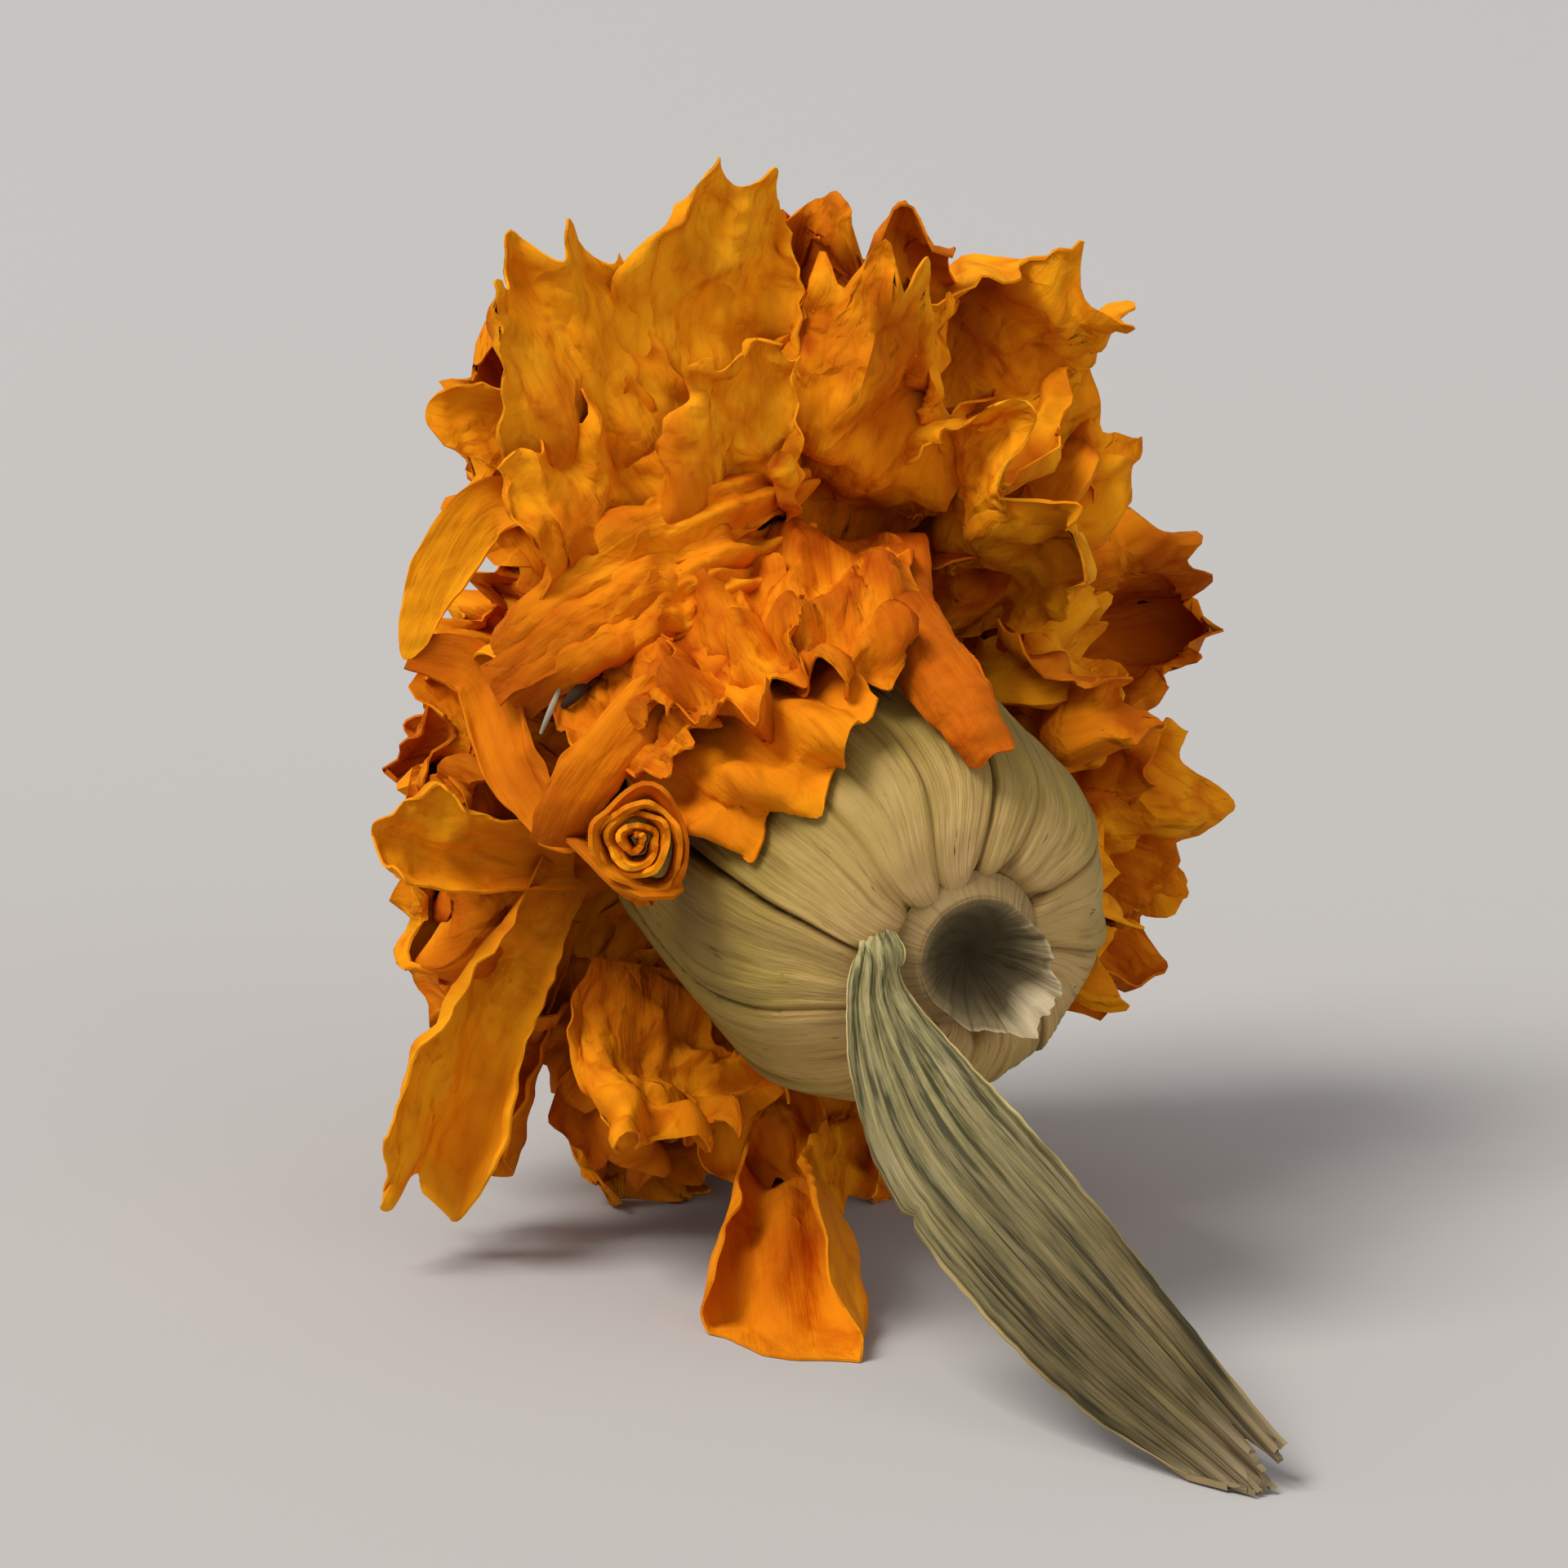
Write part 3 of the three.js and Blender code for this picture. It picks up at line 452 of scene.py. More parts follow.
def draw_petal(ring, index, draw):
    """One petal of a ring, drawn by lot in the same order as in the solids."""
    count, root, lean, (fixed, share), width, _, bends = ring
    angle = 2 * math.pi * (index + 0.7 * (draw() - 0.5)) / count + root[1]
    length = (fixed + share * (reach_at(angle) - root[0])) * (0.84 + 0.26 * draw())
    petal = {"angle": angle, "root": root, "length": length}
    petal["lean"] = math.radians(lean + 14 * (draw() - 0.5))
    petal["width"] = width * (0.85 + 0.3 * draw())
    petal["twist"] = math.radians(36 * (draw() - 0.5))
    petal["pleats"] = 1.2 + 1.4 * draw()
    petal["phase"] = 2 * math.pi * draw()
    petal["relief"] = 0.5 + 0.7 * draw()
    made = []
    for at, turn, radius in bends:
        place = length * (at + 0.1 * (draw() - 0.5))
        skew = math.radians(44 * (draw() - 0.5))
        made.append((place, skew, math.radians(turn + 36 * (draw() - 0.5)), radius))
    petal["bends"] = made[::-1]
    return petal


def stands_in_ring(ring, index):
    """Whether a ring has its petal at an index, and not a single one there."""
    degrees = math.degrees(2 * math.pi * index / ring[0] + ring[1][1])
    first, last = ring[5]
    return (degrees - first) % 360 >= last - first


def ring_petals(rings, seed):
    draw = random_source(seed)
    made = []
    for ring in rings:
        drawn = [draw_petal(ring, index, draw) for index in range(ring[0])]
        made.append([petal for index, petal in enumerate(drawn) if stands_in_ring(ring, index)])
    return made


def place_ring_petal(petal, sheet):
    """A flat sheet bent, turned and set in its ring."""
    for at, skew, angle, radius in petal["bends"]:
        sheet = fold(sheet, (0, at), (-math.sin(skew), math.cos(skew)), angle, radius)
    turned = sheet.copy()
    sine, cosine = math.sin(petal["twist"]), math.cos(petal["twist"])
    turned[..., 0] = sheet[..., 0] * cosine + sheet[..., 2] * sine
    turned[..., 2] = sheet[..., 2] * cosine - sheet[..., 0] * sine
    out = np.array([math.cos(petal["angle"]), math.sin(petal["angle"]), 0.0])
    axis = np.array([0.0, 0.0, 1.0])
    ahead = out * math.sin(petal["lean"]) + axis * math.cos(petal["lean"])
    face = axis * math.sin(petal["lean"]) - out * math.cos(petal["lean"])
    aside = np.array([out[1], -out[0], 0.0])
    return turned @ np.array([aside, ahead, face]) + out * petal["root"][0] + axis * petal["root"][1]


def path_length(points):
    t = np.linspace(0, 1, 200)
    return np.linalg.norm(np.diff(spline(points, t, "run on"), axis=0), axis=1).sum()


def place_on_path(points, sheet, length, side=None):
    """A flat sheet laid along a path in the head."""
    v = sheet[..., 1] / length
    middle = spline(points, v, "run on")
    step = 1e-3
    near = np.clip(v, step, 1 - step)
    ahead = unit(spline(points, near + step, "run on") - spline(points, near - step, "run on"))
    if side is None:
        side = np.stack([-middle[..., 1], middle[..., 0], 0 * v], axis=-1)
    across = unit(side - ahead * (side * ahead).sum(axis=-1, keepdims=True))
    face = np.cross(ahead, across)
    beyond = (v - np.clip(v, 0, 1)) * length
    return middle + across * sheet[..., :1] + face * sheet[..., 2:] + ahead * beyond[..., None]


def waves(place, draws, *parts):
    """Waves drawn by lot, of (height, rate) each."""
    return sum(height * np.sin(rate * place + phase(draws)) for height, rate in parts)


def flat_sheet(length, half, steps, draws, style):
    """A crumpled petal before it is bent: points across, along and up, where they lie, and its creases."""
    u, v = sheet_grid(*steps)
    width = half(np.array([0.6]))[0] * 2
    ragged = 1 + 0.06 * np.sin(9 * v + phase(draws) + 2 * np.sign(u)) * smooth(v, 0.3, 0.7)
    lobe_count = style.get("lobes", draws.integers(2, 5))
    lobe_turn = 0 if "lobes" in style else phase(draws)
    lobes = style.get("lobe_rise", 0.04) * np.cos(math.pi * lobe_count * u + lobe_turn)
    x = u * half(v) * ragged
    y = v * length * (1 - 0.09 * u * u * v + lobes * smooth(v, 0.55, 1))
    nibbled = style.get("ragged", 1.0)
    y = y + nibbled * waves(x, draws, (0.16, 3.3), (0.07, 7)) * smooth(v, 0.7, 1)
    x = x + nibbled * waves(y, draws, (0.16, 2.7), (0.07, 5.7)) * u ** 3
    grown = smooth(v, 0.05, 0.45)
    crush = style.get("crush", 1.0)
    rough, lines = crumple(x, y, draws)
    rough *= grown * crush * (1 - 0.75 * smooth(np.maximum(v, np.abs(u)), 0.88, 1.0))
    rim = smooth(np.maximum(v, np.abs(u) * 0.94), 0.7, 1.0) * grown * min(crush, 1.0)
    edge = crease((x + 0.6 * y) / 2.6 + draws.random()) + 0.5 * crease((y - 0.5 * x) / 1.3 + draws.random())
    sheet = np.stack([x, y, style["wave"](u, v) + rough + 0.3 * rim * edge], axis=-1)
    for side in (-1, 1):
        inset = width / 2 * draws.uniform(0.5, 0.85)
        roll = math.radians(style.get("rolls", draws.uniform(10, 110)))
        roll *= -1 if "rolls" in style else draws.choice((-1, 1))
        heading = (side, draws.uniform(-0.3, 0.3))
        sheet = fold(sheet, (side * inset, length * 0.55), heading, roll, draws.uniform(0.35, 0.9))
    tip = math.radians(style.get("tip", draws.uniform(-110, 110)))
    if tip:
        heading = (draws.uniform(-0.8, 0.8), 1)
        sheet = fold(sheet, (0, length * draws.uniform(0.84, 0.95)), heading, tip, 0.5)
    return sheet, x, y, rough, lines * grown * min(crush, 1.0)


def ring_sheet(petal, steps, draws):
    def half(v):
        return petal["width"] / 2 * (0.28 + 0.72 * smooth(v, 0, 0.62)) * (1 - 0.28 * smooth(v, 0.82, 1))

    def wave(u, v):
        return petal["relief"] * smooth(v, 0.15, 0.8) * np.cos(math.pi * petal["pleats"] * u + petal["phase"])

    sheet, *rest = flat_sheet(petal["length"], half, steps, draws, {"wave": wave})
    return place_ring_petal(petal, sheet), *rest


def single_sheet(single, steps, draws):
    points = [head_point(*point) for point in single["path"]]
    length = path_length(points)
    height, count = single.get("ruffle", (0.0, 1))

    def half(v):
        rounded = 1 - single.get("round_end", 0.0) * smooth(v, 0.86, 1.02)
        return spline([(width,) for width in single["widths"]], v)[..., 0] / 2 * rounded

    def wave(u, v):
        arch = single.get("arch", 0.0) * (0.5 - u * u) * smooth(v, 0, 0.4)
        bent = u + 0.3 * np.sin(2.6 * v)
        return arch + height * np.cos(math.pi * count * bent + 0.6) * smooth(v, 0.3, 1)

    sheet, *rest = flat_sheet(length, half, steps, draws, {**single, "wave": wave})
    return place_on_path(points, sheet, length, single.get("side")), *rest


def roll_sheet(roll, steps, draws):
    """The rolled petal: from its root to the roll, and then round it inwards."""
    centre = head_point(*roll["place"])
    across = unit(np.array(roll["looks"]))
    start = head_point(*roll["root"]) - centre
    start = unit(start - across * (start @ across))
    beside = np.cross(across, start)
    points = [head_point(*roll["root"])]
    around = round(roll["turns"] * 8)
    for i in range(around + 1):
        angle = math.pi / 2 + 2 * math.pi * roll["turns"] * i / around
        uneven = 1 + 0.09 * math.sin(3.1 * angle) + 0.05 * math.sin(5.3 * angle + 1)
        r = roll["radius"] * (1 - 0.93 * i / around) * uneven
        points.append(centre + start * r * math.cos(angle) + beside * r * math.sin(angle))
    length = path_length(points)
    u, v = sheet_grid(*steps)
    edge = 0.16 * np.sin(v * 41) + 0.1 * crease(v * 17 + draws.random())
    edge += 0.07 * crease(v * 37 + draws.random())
    x = u * roll["width"] / 2 * (0.6 + 0.4 * smooth(v, 0, 0.2)) * (1 + edge)
    y = v * length
    rough, lines = crumple(x, y, draws)
    rough = rough * 0.4 * (1 - 0.85 * v)
    lip = 0.22 * smooth(np.abs(u), 0.5, 1) ** 2 * (1 - 0.6 * v)
    flat = np.stack([x, y, rough + lip], axis=-1)
    return place_on_path(points, flat, length, across), x, y, rough, lines


def clear_of_cup(points):
    """Pushes points of the head's frame out of the cup and the gap round it."""
    radii, heights = zip(*CUP_OUTLINE)
    radius = np.hypot(points[..., 0], points[..., 1])
    height = points[..., 2]
    inside = (height > -CUP_CLEAR) & (height < heights[-1] + CUP_TOOTH)
    least = np.where(inside, np.interp(height, heights, radii) + CUP_CLEAR + PETAL_THICK / 2, 0.0)
    grow = np.where((radius < least) & (radius > 1e-6), least / np.maximum(radius, 1e-6), 1.0)
    moved = points.copy()
    moved[..., :2] *= grow[..., None]
    return moved


def above_floor(points):
    """Presses points in the flower's frame that lie below the floor flat on to it."""
    lifted = points.copy()
    low = PETAL_THICK / 2 + 0.02
    lifted[..., 2] = np.where(points[..., 2] < low, low + 0.02 * np.exp(points[..., 2] - low), points[..., 2])
    return lifted


def laid_sheets(sheets, seed):
    """Each petal's sheet in the flower, with the place on it, its relief and its creases."""
    draws = np.random.default_rng(seed)
    laid = []
    for make, petal, steps in sheets:
        sheet, x, y, rough, lines = make(petal, steps, draws)
        sheet = above_floor(to_flower(clear_of_cup(sheet)))
        tone = petal.get("tone", draws.random())
        laid.append(dict(petal=petal, points=sheet, x=x, y=y, rough=rough, lines=lines, tone=tone))
    return laid


def coarse_copy(points):
    """Every few lines of a grid of points, and which lines they are."""
    rows, columns = (
        np.unique(np.append(np.arange(0, count, SHADE_RAYS["coarse"]), count - 1)) for count in points.shape[:2]
    )
    return points[np.ix_(rows, columns)], rows, columns


def painted_shade_tree(laid):
    """What a coarse copy of all the petals, the cup and the floor stop, for the painted shade."""
    radii, heights = np.array(CUP_OUTLINE).T[..., None]
    cup = circle(np.linspace(0, 2 * math.pi, 41), radii - SHADE_RAYS["cup_inset"], heights)
    ends = (-SHADE_RAYS["floor"], SHADE_RAYS["floor"])
    floor = np.array([[(x, y, 0.0) for x in ends] for y in ends])
    grids = [to_flower(cup), floor] + [coarse_copy(sheet["points"])[0] for sheet in laid]
    starts = np.cumsum([0] + [grid.shape[0] * grid.shape[1] for grid in grids[:-1]])
    faces = np.concatenate([grid_faces(*grid.shape[:2]) + start for grid, start in zip(grids, starts)])
    points = np.concatenate([grid.reshape(-1, 3) for grid in grids])
    return BVHTree.FromPolygons(points.tolist(), faces.tolist())


def painted_shade_at(tree, points, normals):
    """How far rays get from each point of a grid on the side of its normals, from 0 to 1: the less far, the
    more shade is painted there.
    """
    index = np.arange(SHADE_RAYS["rays"]) + 0.5
    rise = np.sqrt(1 - index / SHADE_RAYS["rays"])
    lobe = circle(index * GOLDEN_TURN, np.sqrt(1 - rise ** 2), rise)
    aside = unit(np.cross(normals, np.where(np.abs(normals[..., :1]) < 0.8, [1.0, 0, 0], [0, 1.0, 0])))
    axes = np.stack([aside, np.cross(normals, aside), normals], axis=-2)
    ways = (lobe @ axes).reshape(-1, SHADE_RAYS["rays"], 3)
    found = []
    for start, fan in zip((points + normals * SHADE_RAYS["lift"]).reshape(-1, 3), ways):
        hits = (tree.ray_cast(Vector(start), Vector(way), SHADE_RAYS["far"])[3] for way in fan)
        found.append(sum(SHADE_RAYS["far"] if hit is None else hit for hit in hits) / len(fan) / SHADE_RAYS["far"])
    return np.array(found).reshape(points.shape[:2])


def painted_shade_over(tree, points, side):
    """The same for all points of a sheet, from a coarse copy of it."""
    coarse, rows, columns = coarse_copy(points)
    shade_openness = painted_shade_at(tree, coarse, side * grid_normals(coarse))
    wide = np.array([np.interp(np.arange(points.shape[1]), columns, line) for line in shade_openness])
    return np.array([np.interp(np.arange(points.shape[0]), rows, line) for line in wide.T]).T


def petal_piece(name, laid, tree, material):
    """One piece of many petals, each a closed sheet."""
    parts, faces = [], []
    for sheet in laid:
        petal, x, y = sheet["petal"], sheet["x"].ravel(), sheet["y"].ravel()
        parts.append(thin_solid(sheet["points"], petal.get("thick", PETAL_THICK)))
        for side in (1, -1):
            # Painted shade: how open each face lies to rays, its creases and its relief darken it in the
            # material.
            shade_openness = painted_shade_over(tree, sheet["points"], side).ravel()
            faces.append({
                "petal_crease_shade": side * sheet["lines"].ravel(),
                "petal_fine": np.full(len(x), min(petal.get("crush", 1.0), 1.0)),
                "petal_place": np.stack([x, y, y / y.max()], axis=-1),
                "petal_tone_and_shade": np.full(len(x), sheet["tone"]),
                "petal_relief": side * sheet["rough"].ravel(),
                "petal_painted_shade": np.maximum(shade_openness, petal.get("painted_shade_limit", 0.0)),
            })
    values = {key: np.concatenate([face[key] for face in faces]) for key in faces[0]}
    make_piece(name, "ray_petals", material, parts, values)


def chaff_piece(material):
    """Slivers that are arched along and across."""
    parts, tones = [], []
    u, v = sheet_grid(4, 12)
    for first, last, width, tone in CHAFF:
        start, end = head_point(*first), head_point(*last)
        ahead = unit(end - start)
        across = unit(np.cross(ahead, CHAFF_FACES))
        face = np.cross(across, ahead)
        rise = 0.3 * np.sin(math.pi * v) - 0.2 * width * u ** 2
        half = width / 2 * (0.3 + 0.7 * np.sin(math.pi * v))
        sliver = start + ahead * (v * np.linalg.norm(end - start))[..., None]
        sliver = sliver + across * (u * half)[..., None] + face * rise[..., None]
        parts.append(thin_solid(to_flower(sliver), 0.08))
        tones.append(np.full(len(parts[-1][0]), tone))
    make_piece("seeds_and_chaff", "ray_petals", material, parts,
               {"paleness": np.concatenate(tones)})


# The cup, the stem, the leaf and the disc

def cup_seams(angle, share):
    """At angles round the cup: how wide the bract is, the place across it, and its index."""
    seams = np.radians(np.array([*CUP_SEAMS, CUP_SEAMS[0] + 360]))
    turned = angle + SEAM_DRIFT * (1 - smooth(share, 0, 0.35))
    turned = (turned - seams[0]) % (2 * math.pi) + seams[0]
    index = np.clip(np.searchsorted(seams, turned, side="right") - 1, 0, len(CUP_SEAMS) - 1)
    wide = seams[index + 1] - seams[index]
    return wide, (turned - seams[index]) / wide, index


def cup_piece(material, tree):
    around, up = CUP_STEPS
    draws = np.random.default_rng(SEEDS["cup"])
    angle = angles_round(around)
    share = np.linspace(0, 1, up + 1) ** 1.25
    line = spline(CUP_OUTLINE, share)
    radius, height = line[:, :1], line[:, 1:]
    a, s = np.meshgrid(angle, share)
    wander = 0.03 * np.sin(2 * a + 5 * s) + 0.02 * np.sin(5 * a - 7 * s + 1)
    wide, t, index = cup_seams(a + wander, s)

    def at_seam(values):
        """Each point's value out of the seams' values, that of the seam nearer to it."""
        return np.where(t < 0.5, values[index], np.roll(values, -1)[index])

    lift = draws.uniform(-0.06, 0.1, len(CUP_SEAMS))
    depth = draws.uniform(0.24, 0.36, len(CUP_SEAMS))
    strong = at_seam(np.array(SEAM_STRENGTHS))
    seam = np.minimum(t, 1 - t) * wide * radius
    grown = smooth(s, 0.03, 0.22)
    flat = radius * (1 - np.cos(wide / 2) / np.cos((t - 0.5) * wide)) * 0.9
    groove = at_seam(depth) * strong * np.exp(-(seam / 0.09) ** 2) + 0.06 * np.exp(-(seam / 0.35) ** 2)
    step = (0.16 * (t - 0.5) + lift[index]) * smooth(seam, 0.0, 0.12)
    ridges = np.zeros_like(a)
    for count, size in ((1.7, 0.07), (3.9, 0.03), (7.3, 0.02), (13.1, 0.015)):
        drift, fade = draws.uniform(-0.5, 0.5), 0.5 + 0.5 * np.sin(5 * s + 4 * a + phase(draws))
        ridges += size * crease(count * (t + index * 1.37) * wide / 0.6 + drift * s + draws.random()) * fade
    dents = 0.1 * np.sin(5 * a + 6 * s) * np.sin(3 * a - 8 * s + 1)
    outer = radius + (step - flat - groove + (ridges + dents) * smooth(seam, 0, 0.3)) * grown
    lip = LIP_RADIUS + 0.45 * np.sin(3 * a + 1.2) + 5.2 * np.abs(t - 0.5) ** 3
    inset = 0.3 * smooth(lip - outer, -0.2, 0.5) * smooth(outer, 1.4, 2.3)
    swell = -0.1 * np.exp(-((outer - lip - 0.5) / 0.5) ** 2) * smooth(seam, 0.05, 0.4)
    z = height + inset + swell

    tooth = CUP_TOOTH * (1 - np.abs(2 * t[-1] - 1)) ** 0.8
    rim, mouth = outer[-1], z[-1]
    loops = [circle(angle, 0.7, 0.3)] + [circle(angle, *row) for row in zip(outer, z)]
    wall = [(0.02 * part, part) for part in range(1, 9)]
    wall += [(0.3 + 0.05 * (8 - part), part) for part in range(8, -1, -1)]
    loops += [circle(angle, rim - inwards, mouth + tooth * part / 8) for inwards, part in wall]
    for r, level in line[:0:-8]:
        if level > CUP_FLOOR + 0.3:
            loops.append(circle(angle, min(r - CUP_WALL, 5.9), level - 0.2))
    loops += [circle(angle, r, CUP_FLOOR) for r in (3.4, 0.7)]
    points, faces = capped_loops(loops)

    def spread(values, inside):
        """Values of the outer wall, carried on to all the loops."""
        whole = np.full((len(loops), around), inside, dtype=float)
        whole[0], whole[1:up + 2] = values[0], values
        return whole.ravel()

    place = (spread((t + index) * 3.6, 0.0), spread(s * CUP_LONG, CUP_LONG),
             spread(seam + 0.13 * (1 - strong), 0.4))
    shade = np.random.default_rng(SEEDS["shade"]).random(len(CUP_SEAMS))[index]
    # Painted shade where petals lie close over the cup: how open its outer wall lies to rays.
    shade_openness = painted_shade_over(tree, to_flower(circle(a, outer, z)), 1)
    make_piece("involucre_fine", "involucre", material, [(to_flower(points), faces)], {
        "cup_place": np.stack(place, axis=-1),
        "cup_shade": spread(shade, 0.5),
        "cup_base": spread(smooth(lip - outer, -0.1, 0.5), 0.0),
        "cup_relief": spread(ridges, 0.0),
        "cup_painted_shade": spread(shade_openness, 1.0),
    })


def stem_piece(material):
    """The torn foot of the stem: a dish from the bracts' lips inwards, whose rim stands up on one side."""
    around, up, down = STEM_STEPS
    draws = np.random.default_rng(SEEDS["stem"])
    angle = angles_round(around)
    side = (0.5 + 0.5 * np.cos(angle - math.radians(STEM["tear"]))) ** 3
    jag = 0.1 * np.sin(5 * angle) + 0.06 * np.sin(11 * angle)
    torn = STEM["stub"] + STEM["torn"] * side + jag * (0.2 + side)
    turns = angle / 6.283
    torn = torn + side * (0.25 * crease(17 * turns + draws.random()) + 0.12 * crease(41 * turns))
    outwards, inwards = np.linspace(0, 1, up + 1), np.linspace(0, 1, down + 1)[1:]
    loops = []
    for t in outwards:
        z = -CUP_CLEAR - torn * t + (CUP_CLEAR + 0.25) * (1 - smooth(t, 0, 0.5))
        wave = 0.18 * np.sin(9 * angle + 1) * smooth(t, 0.4, 1) * side
        collar = 0.5 * (1 - smooth(t, 0, 0.8)) ** 1.5 * (1 - 0.6 * side)
        r = STEM["flare"] - 0.25 * smooth(t, 0, 0.4) + 0.5 * side * t + wave + collar
        loops.append(circle(angle, r, z))
    rim, top = np.hypot(*loops[-1].T[:2]) - 0.16, loops[-1][:, 2] + 0.03
    for s in inwards:
        r = rim * (1 - s) + 0.02 * s
        uneven = 0.05 * np.sin(7 * angle + 9 * r) * r * (1 - r / 3)
        loops.append(circle(angle, r, top * (1 - s) ** 3 + 0.1 * (1 - (1 - s) ** 3) + uneven))
    loops += [circle(angle, r, 0.45) for r in (0.02, 2.6)]
    points, faces = capped_loops(loops)
    share = np.concatenate([outwards, 1 - inwards, [0, 0]])[:, None]
    inward = np.concatenate([0 * outwards, inwards, [0, 0]])[:, None]
    place = np.stack(np.broadcast_arrays(angle * 2, share * side, inward), axis=-1)
    make_piece("peduncle_fine", "peduncle", material, [(to_flower(points), faces[:, ::-1])],
               {"stem_place": place.reshape(-1, 3)})


def leaf_piece(material):
    draws = np.random.default_rng(SEEDS["leaf"])
    u, v = sheet_grid(*LEAF_STEPS)
    step = 1e-3
    ahead = unit(spline(LEAF_PATH, np.minimum(v + step, 1), "run on")
                 - spline(LEAF_PATH, np.maximum(v - step, 0), "run on"))
    side = unit(np.array(LEAF_SIDE))
    across = unit(side - ahead * (side * ahead).sum(axis=-1, keepdims=True))
    face = np.cross(across, ahead)
    half = spline([(width,) for width in LEAF_WIDTHS], v)[..., 0] / 2
    nick = 0.1 * np.exp(-((v - 0.6) / 0.006) ** 2) * (u < 0)
    uneven = 0.03 * np.sin(11 * v + np.sign(u)) + 0.01 * crease(v * 14 + u) + 0.006 * crease(v * 31 - u)
    ribs = 0.13 * crease(1.9 * u + 0.32 + 0.2 * np.sin(3 * v))
    ribs += 0.03 * crease(4.5 * u + 0.25 + 0.3 * np.sin(3 * v))
    ribs += 0.025 * crease(11 * u + 0.7 * v) + 0.012 * crease(23 * u - 1.1 * v)
    rise = 0.5 * u * u * smooth(v, 0, 0.3) + ribs * smooth(v, 0.0, 0.12) + 0.2 * np.sin(5 * v + 1) * u
    rise += 0.25 * smooth(np.abs(u), 0.86, 1.0) * (0.5 + 0.5 * np.sin(17 * v))
    rise += smooth(v, 0.86, 1.0) * 0.3 * crease(2.3 * u + 0.1)
    fork = 2.2 * np.exp(-((u - 0.42) / 0.13) ** 2) + 0.9 * smooth(u, 0.5, 1.0) + 0.5 * smooth(-u, 0.6, 1.0)
    shreds = 0.3 * crease(3.1 * u + 0.2) + 0.25 * crease(7.3 * u + draws.random()) + 0.12 * crease(17 * u)
    fray = smooth(v, 0.84, 1.0) * (shreds - fork)
    beside = u * half * (1 + (uneven - nick) * u ** 4)
    points = spline(LEAF_PATH, v, "run on") + BASE_PLACE
    for way, reach in ((ahead, fray), (across, beside), (face, rise)):
        points = points + way * reach[..., None]
    points[..., 2] = np.maximum(points[..., 2], LEAF_THICK)
    place = np.stack([u, v, 0 * u], axis=-1).reshape(-1, 3)
    make_piece("leaf_fine", "leaf", material, [thin_solid(points, LEAF_THICK)],
               {"leaf_place": np.concatenate([place, place])})


def disc_piece(material):
    """The dome, and tubular florets with five lobes spread evenly over it."""
    draws = np.random.default_rng(SEEDS["disc"])
    parts = [capped_loops([circle(angles_round(64), *row) for row in DISC])]
    tips = [np.zeros(len(parts[0][0]))]
    corners = angles_round(10)
    for index in range(FLORETS["count"]):
        share = math.sqrt((index + 0.5) / FLORETS["count"])
        turn = index * GOLDEN_TURN
        out = np.array([math.cos(turn), math.sin(turn), 0.0])
        lean = 0.55 * share + draws.uniform(-0.15, 0.15)
        axis = np.array([0, 0, math.cos(lean)]) + out * math.sin(lean)
        aside = np.array([-out[1], out[0], 0.0])
        third = np.cross(axis, aside)
        level = FLORETS["crown"] - FLORETS["fall"] * share ** 2 - FLORETS["sunk"]
        foot = out * share * FLORETS["spread"] + np.array([0, 0, level])
        tall = draws.uniform(*FLORETS["tall"])
        loops = []
        for t, r in FLORET:
            lobed = r * (1 + 0.25 * np.cos(5 * corners) * (t > 0.7))
            round_ = np.outer(lobed * np.cos(corners), aside) + np.outer(lobed * np.sin(corners), third)
            loops.append(foot + axis * tall * t + round_)
        parts.append(capped_loops(loops))
        tips.append(np.repeat([0, 0.3, 0.8, 1, 1, 0.4], len(corners)))
    parts = [(to_flower(points), faces) for points, faces in parts]
    make_piece("disc_florets_fine", "disc_florets", material, parts,
               {"tip": np.concatenate(tips)})


# Materials

